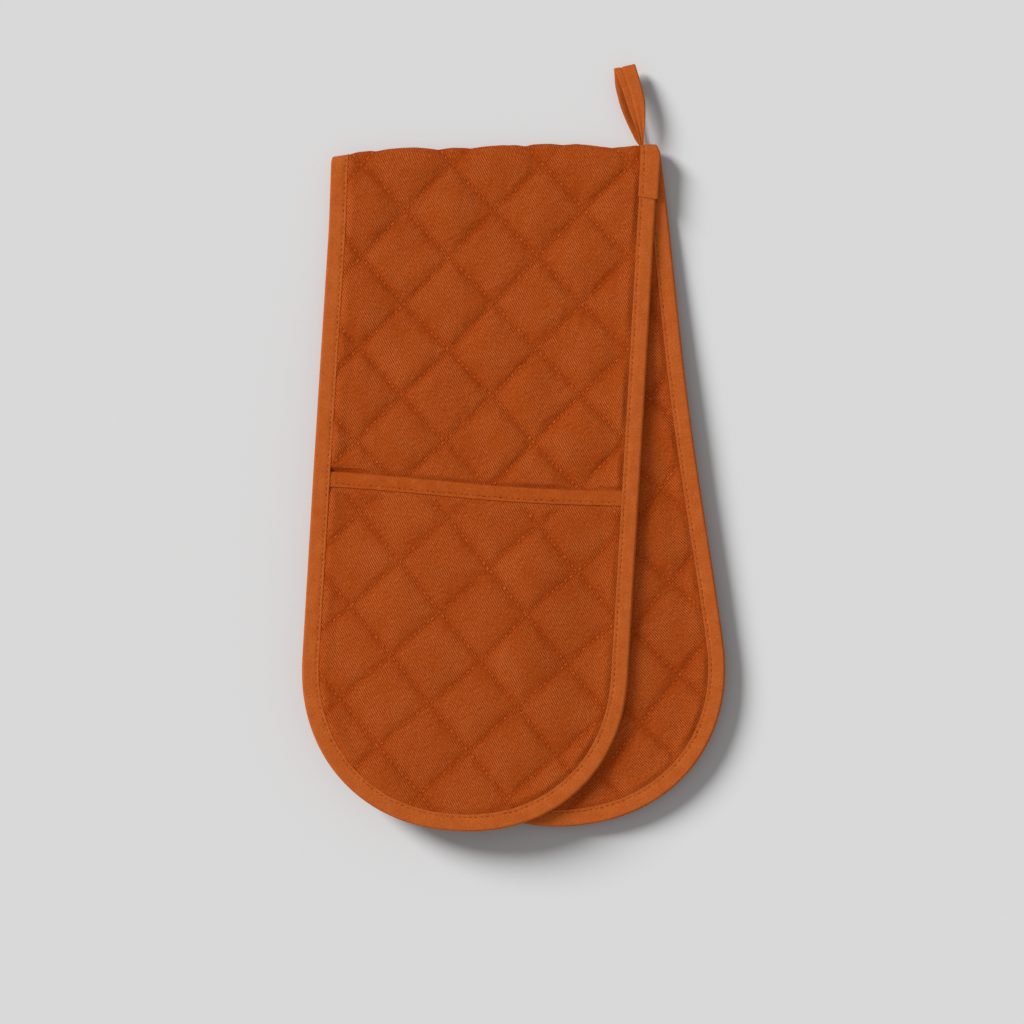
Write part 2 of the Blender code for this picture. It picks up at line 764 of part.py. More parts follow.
def build():
    for old in list(bpy.data.objects):
        bpy.data.objects.remove(old, do_unlink=True)

    cloth = material("twill_cloth", CLOTH_COLOUR, CLOTH_ROUGHNESS)
    tape = material("binding_tape", TAPE_COLOUR, TAPE_ROUGHNESS)
    wadding = material("wadding", WADDING_COLOUR, CLOTH_ROUGHNESS)
    thread = material("sewing_thread", THREAD_COLOUR, THREAD_ROUGHNESS)

    glove = joint("glove_frame", Vector(), None)
    back_half = joint("back_half_frame", pocket_hinge_place(1), glove)
    fold = joint("fold_spine_frame", hinge_place(1), back_half)
    front_half = joint("front_half_frame", hinge_place(-1), fold)
    front_pocket = joint("front_pocket_frame", pocket_hinge_place(-1), front_half)
    neck = Vector((HALF_WIDTH - LOOP_INSET, LIP_FACE + CLEARANCE, FOLD_MIDDLE))
    loop = joint("hanging_loop_frame", neck + Vector((0, LOOP_TAPE, 0)), fold)

    pocket("back_pocket", 1, cloth, wadding, tape, thread, glove)
    pocket("front_pocket", -1, cloth, wadding, tape, thread, front_pocket)
    for label, side, parent in (("back", 1, back_half), ("front", -1, front_half)):
        half_body(label, side, cloth, wadding, parent)
        edge_binding(label + "_edge_binding", side, tape, parent)
        edge_thread(label + "_edge_thread", side, JOIN_LENGTH if side < 0 else 0, thread, parent)
        pocket_seam(label + "_pocket_seam", side, cloth, parent)
    binding_join("binding_join", -1, tape, front_half)

    fold_layer("fold_outer_cloth", OUTER_CLOTH, OUTER_FACE, cloth, fold)
    fold_layer("fold_wadding", WADDING, WADDING + EDGE_WADDING, wadding, fold)
    fold_layer("fold_inner_cloth", INNER_CLOTH, INNER_CLOTH + CLOTH, cloth, fold)
    fold_binding("fold_binding_right", 1, tape, fold)
    fold_binding("fold_binding_left", -1, tape, fold)
    hanging_loop("hanging_loop", neck, tape, loop)

    bpy.context.view_layer.update()
    corners = [made.matrix_world @ Vector(corner) for made in bpy.data.objects if made.type != "EMPTY"
               for corner in made.bound_box]
    middle = [(min(c[axis] for c in corners) + max(c[axis] for c in corners)) / 2 for axis in (0, 1)]
    glove.location = (-middle[0], -middle[1], -min(c.z for c in corners))


build()
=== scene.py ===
"""Looks of the double oven glove: quilted twill, hand pockets, edge tape, stitches and the hanging loop.

Every surface is a level q over the flat strip (u across, v along from the crease, as in the CAD part), and
place() folds the strip. Metres throughout. In the quilting w is -v for the halves, so that their lines run
on over the fold, and the distance from the crease for the pockets.
"""
import math

import bmesh
import bpy
import numpy as np
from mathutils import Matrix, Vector
from mathutils.geometry import delaunay_2d_cdt


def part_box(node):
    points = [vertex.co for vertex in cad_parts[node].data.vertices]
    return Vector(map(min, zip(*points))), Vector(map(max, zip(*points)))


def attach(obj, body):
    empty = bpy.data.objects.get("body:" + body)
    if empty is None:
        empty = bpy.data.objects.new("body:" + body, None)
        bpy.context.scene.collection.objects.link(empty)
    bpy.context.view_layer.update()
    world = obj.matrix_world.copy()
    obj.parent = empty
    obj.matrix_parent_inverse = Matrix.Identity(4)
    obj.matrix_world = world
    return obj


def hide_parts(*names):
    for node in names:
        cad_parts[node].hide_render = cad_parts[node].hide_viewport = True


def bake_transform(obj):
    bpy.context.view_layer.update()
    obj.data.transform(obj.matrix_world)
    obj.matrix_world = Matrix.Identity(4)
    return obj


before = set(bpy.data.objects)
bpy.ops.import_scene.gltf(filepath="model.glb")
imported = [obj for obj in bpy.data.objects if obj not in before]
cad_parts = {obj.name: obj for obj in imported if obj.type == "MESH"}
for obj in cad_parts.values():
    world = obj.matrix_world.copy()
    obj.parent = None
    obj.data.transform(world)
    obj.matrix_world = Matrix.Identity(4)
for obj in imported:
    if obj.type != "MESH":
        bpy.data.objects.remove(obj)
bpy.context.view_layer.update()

# Strip, as in the CAD part
HALF_WIDTH = 0.095
HALF_LENGTH = 0.400
TIP_LENGTH = 0.096
TIP_ROUNDING = 2.15
CREASE_SKEW = math.radians(5.35)
MOUTH = 0.1975
TIP_START = HALF_LENGTH - TIP_LENGTH
BINDING_WIDTH = 0.0100
MOUTH_WIDTH = 0.0088
STITCH_INSET = 0.0017
MOUTH_STITCH_INSET = 0.0021
TAPE = 0.0006
CLEARANCE = 0.0003

# Levels, as in the CAD part
MEETING = 0.0003
INNER_FACE = 0.0012
OUTER_FACE = 0.0034
LIP_FACE = 0.0040
LIP_RISE = 0.0013
LIP_STEP = 0.0120
FOLD_MIDDLE = 0.0053
STACK_MIDDLE = 0.0133
BACK_SAG = 0.0040
DRAPE_START = 0.0080
DRAPE_END = 0.1780
QUARTER_ARC = LIP_FACE * math.pi / 2
SKEW_SIN = math.sin(CREASE_SKEW)
SKEW_COS = math.cos(CREASE_SKEW)
FOLD_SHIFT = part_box("fold_outer_cloth")[1].y - OUTER_FACE
SIDES = {"back": 1, "front": -1}
HANDS = {1: "right", -1: "left"}

# Soft forms
SAG_RUN = 0.0500
BACK_WAVE = 0.0026
BACK_WAVE_RUN = 0.3000
CORNER_PULL = 0.0022
CORNER_REACH = 0.0160
CORNER_RUN = 0.0095
FLARE = 0.0010
FLARE_RUN = 0.0500
FOLD_BULGE = 0.0031
FOLD_PUFF = 0.0007
FOLD_LEFT_RUN = 0.0260
FOLD_RIGHT_START = 0.0240
FOLD_RIGHT_RUN = 0.0340
MOUTH_LIFT = 0.00080
MOUTH_BOW = 0.00135
MOUTH_BOW_LENGTH = 0.2160
MOUTH_BOW_START = 0.0800
MOUTH_BOW_FADE = 0.0300
POCKET_SEWN = 0.0047
POCKET_CROWN = 0.0036
POCKET_RUN = 0.0550
MOUTH_SEWN = 0.0042
MOUTH_CROWN = 0.0020
MOUTH_CROWN_RUN = 0.0400
BACK_POCKET_RUN = 0.0420
POCKET_THICKNESS = 0.0022
SEWN_THICKNESS = 0.0010
PANEL_INSET = 0.0010
POCKET_INSET = 0.0045
GRID = 0.00135
COARSE_GRID = 0.0042
SPOT_GAP_SHARE = 0.6
MERGE_DISTANCE = 1e-7
TIP_SAMPLES = 2000
EDGE_SAMPLES = 6000


def smooth(share):
    share = np.clip(share, 0, 1)
    return share * share * (3 - 2 * share)


def hump(x, middle, width):
    """1 in the middle, fading to 0 on both sides."""
    return np.exp(-((x - middle) / width) ** 2)


def unit(vectors):
    return vectors / np.linalg.norm(vectors, axis=-1, keepdims=True)


def inset_at(u, v):
    """Distance in from the strip's edge, on contours of the edge's own shape."""
    beyond = np.maximum(np.abs(v) - TIP_START, 0)
    across = (np.abs(u) / HALF_WIDTH) ** TIP_ROUNDING
    along = (beyond / TIP_LENGTH) ** TIP_ROUNDING
    return HALF_WIDTH * (1 - (across + along) ** (1 / TIP_ROUNDING))


def near_edge(u, v, reach):
    """1 under the edge tape, 0 past a reach from it."""
    return 1 - smooth((inset_at(u, v) - BINDING_WIDTH) / reach)


def unfolded(u, v):
    return v * SKEW_COS - u * SKEW_SIN


def along_at(distance, u):
    return (distance + u * SKEW_SIN) / SKEW_COS


def fold_bulge(u, v):
    """How far the padded cloth stands out at the fold, past the tapes on its edges."""
    left = smooth((HALF_WIDTH + u) / FOLD_LEFT_RUN)
    right = smooth((HALF_WIDTH - u - FOLD_RIGHT_START) / FOLD_RIGHT_RUN)
    return left * right * (FOLD_BULGE + edge_share(u, v) * FOLD_PUFF * (BODY_QUILT.pillow(u, -v) - 0.5))


def mouth_bow(u, v):
    """Shift along the strip that gives the pockets' mouths their slightly wavy line."""
    wave = -MOUTH_LIFT - MOUTH_BOW * np.cos(2 * math.pi * (u + MOUTH_BOW_START) / MOUTH_BOW_LENGTH)
    return np.sign(v) * wave * hump(np.abs(v), MOUTH, MOUTH_BOW_FADE)


def place(u, v, q):
    """Points of the folded glove for points of the flat strip."""
    u, v, q = np.broadcast_arrays(np.asarray(u, float), np.asarray(v, float), np.asarray(q, float))
    v = v + mouth_bow(u, v)
    distance = unfolded(u, v)
    side = np.where(distance >= 0, 1.0, -1.0)
    run = np.abs(distance) - QUARTER_ARC
    rise = smooth((run - DRAPE_START) / (DRAPE_END - DRAPE_START))
    sag = BACK_SAG * near_edge(u, v, SAG_RUN) * (side > 0)
    middle = FOLD_MIDDLE + (STACK_MIDDLE - FOLD_MIDDLE - sag) * rise
    angle = np.clip(np.abs(distance) / QUARTER_ARC, 0, 1) * math.pi / 2
    flat = run >= 0
    wave = BACK_WAVE * np.sin(math.pi * np.clip(run / BACK_WAVE_RUN, 0, 1)) ** 2 * (side > 0)
    near = np.abs(distance)
    right = smooth((u - HALF_WIDTH + CORNER_REACH) / CORNER_REACH) * (1 - smooth(near / CORNER_RUN))
    left = smooth(-u / HALF_WIDTH) * (1 - smooth(near / FLARE_RUN))
    x = u * SKEW_COS + v * SKEW_SIN - wave - CORNER_PULL * right - FLARE * left
    nose = q + fold_bulge(u, v) * np.cos(angle)
    y = np.where(flat, -run, nose * np.cos(angle)) + FOLD_SHIFT
    z = np.where(flat, middle - side * q, FOLD_MIDDLE - side * q * np.sin(angle))
    return np.stack([x, y, np.maximum(z, 0)], -1)


class Noise:
    """Smooth noise between -1 and 1 over a plane, from a seeded lattice."""

    SIZE = 128

    def __init__(self, seed, cell):
        self.table = np.random.RandomState(seed).uniform(-1, 1, (self.SIZE, self.SIZE))
        self.cell = cell

    def __call__(self, x, y):
        x = np.asarray(x) / self.cell
        y = np.asarray(y) / self.cell
        column, row = np.floor(x).astype(int), np.floor(y).astype(int)
        across, along = smooth(x - column), smooth(y - row)
        near = self.at(row, column) * (1 - across) + self.at(row, column + 1) * across
        far = self.at(row + 1, column) * (1 - across) + self.at(row + 1, column + 1) * across
        return near * (1 - along) + far * along

    def at(self, row, column):
        return self.table[row % self.SIZE, column % self.SIZE]


class Quilt:
    """Diamond quilting: two sets of stitched lines that wander a little, and the puffs between them."""

    WANDER = 0.0012
    SOFTNESS = 0.0050
    DRIFT_CELL = 0.0430
    SWELL_CELL = 0.0230
    PUCKER_CELL = 0.0036
    SWELL = Noise(3, SWELL_CELL)
    PUCKER = Noise(5, PUCKER_CELL)
    PUCKER_REACH = 0.0060
    PUCKER_SHARE = 0.28
    SWELL_SHARE = 0.40
    CREASE_REACH = 0.0024

    def __init__(self, crossing, diagonals, seed):
        self.crossing = np.array(crossing)
        self.span = np.array(diagonals).T
        self.inverse = np.linalg.inv(self.span)
        pitches = np.linalg.norm(self.span, axis=0)
        self.spacing = np.prod(pitches) / np.linalg.norm(pitches)
        self.reach = int(2 * HALF_LENGTH / self.spacing) + 2
        self.drift = Noise(seed, self.DRIFT_CELL), Noise(seed + 1, self.DRIFT_CELL)

    def wander(self, u, w):
        return self.WANDER * self.drift[0](u, w), self.WANDER * self.drift[1](u, w)

    def cell(self, u, w):
        """Two numbers that are whole on the lines of the first and of the second set."""
        wander = self.wander(u, w)
        offset = u + wander[0] - self.crossing[0], w + wander[1] - self.crossing[1]
        a, b = np.tensordot(self.inverse, offset, 1)
        return a + b, a - b

    def point(self, first, second):
        """The places (u, w) that have these two numbers."""
        straight = self.crossing[:, None] + self.span @ ((first + second) / 2, (first - second) / 2)
        found = straight
        for _ in range(3):
            found = straight - self.wander(*found)
        return found

    def to_lines(self, u, w):
        return [np.abs(c - np.round(c)) * self.spacing for c in self.cell(u, w)]

    def crease(self, u, w):
        """1 on the stitched lines, 0 away from them: the mask for shade painted along the lines."""
        return np.exp(-np.minimum(*self.to_lines(u, w)) / self.CREASE_REACH)

    def pillow(self, u, w):
        """0 on the stitched lines, about 1 in the middle of a diamond, with puckers beside the lines."""
        to_lines = self.to_lines(u, w)
        swell = np.prod([1 - np.exp(-d / self.SOFTNESS) for d in to_lines], 0)
        nearest = np.minimum(*to_lines)
        near = np.exp(-nearest / self.PUCKER_REACH) * (1 - np.exp(-nearest / GRID))
        swell = swell * (1 + self.SWELL_SHARE * self.SWELL(u, w))
        return swell + self.PUCKER_SHARE * near * self.PUCKER(u, w)

    def grid(self, spacing):
        """Points on a lattice that holds the stitched lines, over the whole strip."""
        count = max(2, round(self.spacing / spacing))
        steps = np.arange(-self.reach * count, self.reach * count + 1) / count
        first, second = np.meshgrid(steps, steps)
        return self.point(first.ravel(), second.ravel())

    def seams(self, pitch):
        """Middles of the stitches on all lines, and unit steps along them, in the strip's plane."""
        step = pitch / self.spacing
        along = np.arange(-self.reach, self.reach, step)
        lines = np.arange(-self.reach, self.reach + 1)
        found = []
        for swap in (False, True):
            line, at = np.meshgrid(lines, along, indexing="ij")
            ends = []
            for offset in (-step / 4, step / 4):
                pair = (at + offset, line) if swap else (line, at + offset)
                first, second = (number.ravel().astype(float) for number in pair)
                ends.append(np.stack(self.point(first, second), -1))
            found.append((sum(ends) / 2, unit(ends[1] - ends[0])))
        return [np.concatenate(part) for part in zip(*found)]


BODY_CROSSING = 0.0040, 0.0916
BODY_DIAGONALS = (0.0521, -0.0030), (0.0020, 0.0543)
POCKET_CROSSING = 0.0322, 0.3262
POCKET_DIAGONALS = (0.0517, -0.0003), (-0.0026, 0.0537)
BODY_QUILT = Quilt(BODY_CROSSING, BODY_DIAGONALS, 11)
POCKET_QUILT = Quilt(POCKET_CROSSING, POCKET_DIAGONALS, 21)

ROLLING_CELL = 0.0360
ROLLING_HEIGHT = 0.00045
ROLLING = Noise(31, ROLLING_CELL)
RUMPLE_CELL = 0.0150
RUMPLE_HEIGHT = 0.00055
RUMPLES = Noise(37, RUMPLE_CELL)
FOLD_PUFF_SHARE = 0.45
INNER_RUN = 0.0320
PUFF_ROOM_SHARE = 0.55
MOUTH_SEWN_SHARE = 0.4
EDGE_FLAT = 0.0094
EDGE_RUN = 0.0042
EDGE_SWELL = 0.00055
EDGE_SWELL_RISE = 0.0014
EDGE_SWELL_FALL = 0.0090
LIP_FOLLOW_RUN = 0.0080
BODY_PUFF = 0.0020
INNER_PUFF = 0.0012
SAG_PUFF = 0.0008
POCKET_PUFF = 0.0014
DIP = 0.0003
MOUTH_DIVE = 0.0032
UNDER_POCKET_SHARE = 0.25
MOUTH_SOFT_RUN = 0.0040
GAPE_DEPTH = 0.0011
GAPE_MIDDLE = -0.0770
GAPE_RUN = 0.0120
GAPE_DIVE_SHARE = 0.5
FILL = 0.00025


def edge_share(u, v):
    """0 under the edge tape, 1 past the stretch that the tape presses flat."""
    return smooth((inset_at(u, v) - EDGE_FLAT) / EDGE_RUN)


def beside_tape(u, v):
    """Height of the padding that swells up right beside the edge tape."""
    inset = inset_at(u, v)
    rise = smooth((inset - BINDING_WIDTH + EDGE_SWELL_RISE) / EDGE_SWELL_RISE)
    return EDGE_SWELL * rise * (1 - smooth((inset - BINDING_WIDTH - EDGE_SWELL_RISE) / EDGE_SWELL_FALL))


def fold_share(u, v):
    """1 on the flat, less over the fold's arc."""
    flat = smooth(np.abs(unfolded(u, v)) / (2 * QUARTER_ARC))
    return FOLD_PUFF_SHARE + (1 - FOLD_PUFF_SHARE) * flat


def pocket_share(v):
    """0 above the pocket's mouth, where the cloth dives under it, 1 under the pocket."""
    return smooth((np.abs(v) - MOUTH + MOUTH_DIVE) / MOUTH_DIVE)


def gape(u, v):
    """1 in the gap that stays open at one end of the mouth, 0 away from it."""
    return hump(u, GAPE_MIDDLE, GAPE_RUN) * smooth(pocket_share(v) / GAPE_DIVE_SHARE)


def body_outer(u, v):
    room = 1 - (1 - UNDER_POCKET_SHARE) * pocket_share(v)
    lift = BODY_PUFF * BODY_QUILT.pillow(u, -v) - DIP + FILL + ROLLING_HEIGHT * ROLLING(u, v)
    follow = lip_rise(v) * near_edge(u, v, LIP_FOLLOW_RUN) * (1 - pocket_share(v))
    padding = room * (beside_tape(u, v) + edge_share(u, v) * fold_share(u, v) * lift)
    return OUTER_FACE + follow + padding - GAPE_DEPTH * gape(u, v)


# Mask of painted shade: the quilted lines and the gap left open at one end of the mouth.
def body_painted_shade(u, v):
    return np.maximum(BODY_QUILT.crease(u, -v), gape(u, v))


def body_inner(u, v):
    run = np.abs(unfolded(u, v)) - QUARTER_ARC
    room = smooth(run / INNER_RUN)
    sag = near_edge(u, v, SAG_RUN) * (unfolded(u, v) > 0)
    puff = (INNER_PUFF + SAG_PUFF * sag) * BODY_QUILT.pillow(u, -v)
    lift = puff - DIP + RUMPLE_HEIGHT * sag * RUMPLES(u, v)
    return INNER_FACE - room * (beside_tape(u, v) + edge_share(u, v) * lift)


def mouth_flat(v):
    """1 in the tape that binds the pocket's mouth, 0 well inside the pocket."""
    return 1 - smooth((np.abs(v) - MOUTH - MOUTH_WIDTH - CLEARANCE) / MOUTH_SOFT_RUN)


def pocket_base(u, v):
    inset = inset_at(u, v) - BINDING_WIDTH
    near_mouth = 1 - smooth((np.abs(v) - MOUTH - MOUTH_WIDTH) / MOUTH_CROWN_RUN)
    sewn = POCKET_SEWN + (MOUTH_SEWN - POCKET_SEWN) * near_mouth
    crown = POCKET_CROWN + (MOUTH_CROWN - POCKET_CROWN) * near_mouth
    front = sewn + crown * smooth(inset / POCKET_RUN)
    high = STACK_MIDDLE - POCKET_PUFF * PUFF_ROOM_SHARE
    back = sewn + (high - sewn) * smooth(inset / BACK_POCKET_RUN)
    return np.where(np.asarray(v) > 0, back, front)


def pocket_cover(u, v):
    lift = POCKET_PUFF * POCKET_QUILT.pillow(u, np.abs(v)) + FILL + ROLLING_HEIGHT * ROLLING(u, -v)
    level = pocket_base(u, v) + (1 - mouth_flat(v)) * (beside_tape(u, v) + edge_share(u, v) * lift)
    return np.where(np.asarray(v) > 0, np.minimum(level, STACK_MIDDLE), level)


# Mask of painted shade along the pocket's quilted lines.
def pocket_painted_shade(u, v):
    return POCKET_QUILT.crease(u, np.abs(v)) * (1 - mouth_flat(v))


def pocket_lining(u, v):
    sewn = np.maximum(1 - edge_share(u, v), MOUTH_SEWN_SHARE * mouth_flat(v))
    return pocket_base(u, v) - POCKET_THICKNESS + (POCKET_THICKNESS - SEWN_THICKNESS) * sewn


# Meshes

WALE = {"outer": (0.52, 0.85), "inner": (0.58, -0.81)}
NORMAL_STEP = 0.0003


def weave_coordinates(u, v, cloth):
    """Flat coordinates of the cloth: across its wales and along them."""
    along = np.array(WALE[cloth]) / math.hypot(*WALE[cloth])
    w = -np.asarray(v)
    return np.stack([u * along[1] - w * along[0], u * along[0] + w * along[1], np.zeros_like(w)], -1)


def surface_normals(level, u, v):
    """Outward unit normals of the folded surface of a level."""
    step = NORMAL_STEP
    du = place(u + step, v, level(u + step, v)) - place(u - step, v, level(u - step, v))
    dv = place(u, v + step, level(u, v + step)) - place(u, v - step, level(u, v - step))
    return unit(np.cross(du, dv))


def linked(name, data):
    made = bpy.data.objects.new(name, data)
    bpy.context.scene.collection.objects.link(made)
    return made


def piece(name, points, faces, finish, flat=None, loop_normals=None, crease=None):
    mesh = bpy.data.meshes.new(name)
    mesh.from_pydata([tuple(p) for p in points], [], [tuple(int(k) for k in f) for f in faces])
    mesh.shade_smooth()
    if flat is not None:
        stored = mesh.attributes.new("strip", "FLOAT_VECTOR", "POINT")
        stored.data.foreach_set("vector", np.asarray(flat, np.float32).ravel())
    # The crease attribute holds the mask of shade painted into the cloth's colour.
    if crease is not None:
        stored = mesh.attributes.new("crease", "FLOAT", "POINT")
        stored.data.foreach_set("value", np.asarray(crease, np.float32))
    mesh.materials.append(finish)
    if loop_normals is not None:
        mesh.normals_split_custom_set([tuple(n) for n in loop_normals])
    return linked(name, mesh)


def run_of(first, last, spacing):
    """Points of a straight stretch of an outline, without its last one."""
    first, last = np.array(first), np.array(last)
    count = max(1, round(np.linalg.norm(last - first) / spacing))
    return [tuple(first + (last - first) * k / count) for k in range(count)]


def tip_curve(inset, angle):
    scale = 1 - np.asarray(inset) / HALF_WIDTH
    power = 2 / TIP_ROUNDING
    cos = np.cos(angle)
    u = np.sign(cos) * np.abs(cos) ** power * HALF_WIDTH * scale
    v = TIP_START + TIP_LENGTH * scale * np.abs(np.sin(angle)) ** power
    return u, v


def lengths_along(u, v):
    return np.concatenate([[0], np.cumsum(np.hypot(np.diff(u), np.diff(v)))])


def tip_run(inset, start, end, spacing):
    """Evenly spaced points round the fingertip end, between two angles, without the last one."""
    u, v = tip_curve(inset, np.linspace(start, end, TIP_SAMPLES))
    length = lengths_along(u, v)
    count = max(2, round(length[-1] / spacing))
    at = np.linspace(0, length[-1], count + 1)[:-1]
    return list(zip(np.interp(at, length, u), np.interp(at, length, v)))


def half_outline(side, spacing):
    """Outline of one half of the strip, from the crease's right end round the tip to its left end."""
    reach = HALF_WIDTH - PANEL_INSET
    right, left = (reach, side * along_at(0, reach)), (-reach, side * along_at(0, -reach))
    points = run_of(right, (reach, TIP_START), spacing)
    points += tip_run(PANEL_INSET, 0, math.pi, spacing)
    points += run_of((-reach, TIP_START), left, spacing)
    points += run_of(left, right, spacing)
    return [(u, side * v) for u, v in points]


def pocket_outline(side, hand, spacing):
    """Outline of the right (hand 1) or left (hand -1) half of a pocket."""
    reach = HALF_WIDTH - POCKET_INSET
    start = MOUTH + TAPE + CLEARANCE
    points = run_of((0, start), (reach, start), spacing)
    points += run_of((reach, start), (reach, TIP_START), spacing)
    points += tip_run(POCKET_INSET, 0, math.pi / 2, spacing)
    points += run_of(tip_curve(POCKET_INSET, math.pi / 2), (0, start), spacing)
    return [(hand * u, side * v) for u, v in points]


def triangles(outline, spots):
    """Flat triangulation of an outline with points inside it. The outline's points come first."""
    area = sum(p[0] * q[1] - q[0] * p[1] for p, q in zip(outline, outline[1:] + outline[:1]))
    if area < 0:
        outline = outline[::-1]
    count = len(outline)
    points = [Vector(p) for p in outline] + [Vector(p) for p in spots]
    found = delaunay_2d_cdt(points, [], [list(range(count))], 1, MERGE_DISTANCE)
    place_of = {}
    for index, sources in enumerate(found[3]):
        for source in sources:
            place_of[source] = index
    flat = np.array([tuple(p) for p in found[0]])
    faces = [tuple(face) for face, inside in zip(found[2], found[5]) if inside]
    rim = [place_of[k] for k in range(count)]
    return flat, faces, rim


def clear_of(points, outline, gap):
    """The points that lie inside an outline by more than a gap."""
    path = np.array(outline)
    ends = np.roll(path, -1, 0)
    low, high = path.min(0), path.max(0)
    points = points[((points > low) & (points < high)).all(1)]
    inside = np.zeros(len(points), bool)
    near = np.full(len(points), np.inf)
    for a, b in zip(path, ends):
        crosses = (a[1] > points[:, 1]) != (b[1] > points[:, 1])
        if a[1] != b[1]:
            reach = a[0] + (points[:, 1] - a[1]) / (b[1] - a[1]) * (b[0] - a[0])
            inside ^= crosses & (points[:, 0] < reach)
        near = np.minimum(near, (points[:, 0] - a[0]) ** 2 + (points[:, 1] - a[1]) ** 2)
    return points[inside & (near > gap * gap)]


def spots_in(outline, quilt, sign, spacing):
    """Points of a quilt's lattice inside an outline."""
    u, w = quilt.grid(spacing)
    return clear_of(np.stack([u, sign * w], -1), outline, GRID * SPOT_GAP_SHARE)


def padded_panel(name, outline, spots_over, spots_under, over, under, crease, finish):
    """Closed body between two levels over an outline, with the surface's own normals on both faces."""
    flat_over, faces_over, rim_over = triangles(outline, spots_over)
    flat_under, faces_under, rim_under = triangles(outline, spots_under)
    (uo, vo), (uu, vu) = flat_over.T, flat_under.T
    points = np.concatenate([place(uo, vo, over(uo, vo)), place(uu, vu, under(uu, vu))])
    base = len(flat_over)
    faces = list(faces_over) + [tuple(base + k for k in f[::-1]) for f in faces_under]
    normals = np.concatenate([surface_normals(over, uo, vo), -surface_normals(under, uu, vu)])
    loop_normals = normals[np.array(faces).ravel()]
    count = len(rim_over)
    for k in range(count):
        after = (k + 1) % count
        faces.append((base + rim_under[k], base + rim_under[after], rim_over[after], rim_over[k]))
    loop_normals = np.concatenate([loop_normals, np.zeros((4 * count, 3))])
    flat = np.concatenate([weave_coordinates(uo, vo, "outer"), weave_coordinates(uu, vu, "inner")])
    creases = np.concatenate([crease(uo, vo), crease(uu, vu)])
    return piece(name, points, faces, finish, flat, loop_normals, creases)


def tube_faces(stations, count, closed=False):
    """Faces of a tube through sections of so many points, with two end faces unless it closes on itself."""
    faces = []
    for station in range(stations if closed else stations - 1):
        here, there = station * count, (station + 1) % stations * count
        for k in range(count):
            after = (k + 1) % count
            faces.append((here + k, here + after, there + after, there + k))
    if not closed:
        faces.append(tuple(reversed(range(count))))
        faces.append(tuple((stations - 1) * count + k for k in range(count)))
    return faces


# Stitches

THREAD = 0.00022
QUILT_THREAD_RADIUS = 0.00032
STITCH_PITCH = 0.0033
STITCH_SHARE = 0.62
STITCH_DIVE = 0.00028
STITCH_SHOULDER = 0.00004
STITCH_CROWN = 0.00012
STITCH_SHAPE = (
    (-0.5, -STITCH_DIVE, 0.5),
    (-0.3, STITCH_SHOULDER, 1.0),
    (0.0, STITCH_CROWN, 1.0),
    (0.3, STITCH_SHOULDER, 1.0),
    (0.5, -STITCH_DIVE, 0.5),
)
STITCH_STRAY = 0.00014
STITCH_STRAY_SHARE = 0.20
THREAD_STRAY_SHARE = 0.32
THREAD_STRAY_LIMITS = 0.4, 1.4
THREAD_SIDES = 6


def stitches(name, middles, ways, level, finish, radius=THREAD, out=1):
    """Short stretches of thread over a level's surface, at middles (u, v) along unit ways."""
    chance = np.random.RandomState(len(middles))
    middles = middles + chance.normal(0, STITCH_STRAY, middles.shape)
    lengths = STITCH_PITCH * STITCH_SHARE * (1 + chance.normal(0, STITCH_STRAY_SHARE, (len(middles), 1)))
    strays = 1 + chance.normal(0, THREAD_STRAY_SHARE, (len(middles), 1))
    radii = radius * np.clip(strays, *THREAD_STRAY_LIMITS)
    up = out * surface_normals(level, *middles.T)
    centres = []
    for along, height, _ in STITCH_SHAPE:
        u, v = (middles + ways * along * lengths).T
        centres.append(place(u, v, level(u, v)) + up * height)
    side = unit(np.cross(unit(centres[-1] - centres[0]), up))
    points = []
    for centre, (_, _, width) in zip(centres, STITCH_SHAPE):
        for k in range(THREAD_SIDES):
            turn = 2 * math.pi * k / THREAD_SIDES
            points.append(centre + radii * width * (math.cos(turn) * up + math.sin(turn) * side))
    shape = tube_faces(len(STITCH_SHAPE), THREAD_SIDES)
    faces = [tuple(n * len(points) + k for k in face) for n in range(len(middles)) for face in shape]
    made = piece(name, np.stack(points, 1).reshape(-1, 3), faces, finish)
    return made


def quilt_stitches(name, quilt, sign, side, level, keep, out=1):
    """Stitches on a quilt's lines where keep(u, v) holds."""
    middles, ways = (part * (1, sign) for part in quilt.seams(STITCH_PITCH))
    kept = keep(*middles.T) & (side * unfolded(*middles.T) > STITCH_PITCH / 2)
    return stitches(name, middles[kept], ways[kept], level, HIGHLIGHTED_QUILT_THREAD, QUILT_THREAD_RADIUS, out)


# Materials

def colour(red, green, blue):
    """Linear colour of an sRGB one."""
    shares = red / 255, green / 255, blue / 255
    return tuple(c / 12.92 if c <= 0.04045 else ((c + 0.055) / 1.055) ** 2.4 for c in shares) + (1,)


def set_inputs(node, values):
    for name, value in values.items():
        node.inputs[name].default_value = value


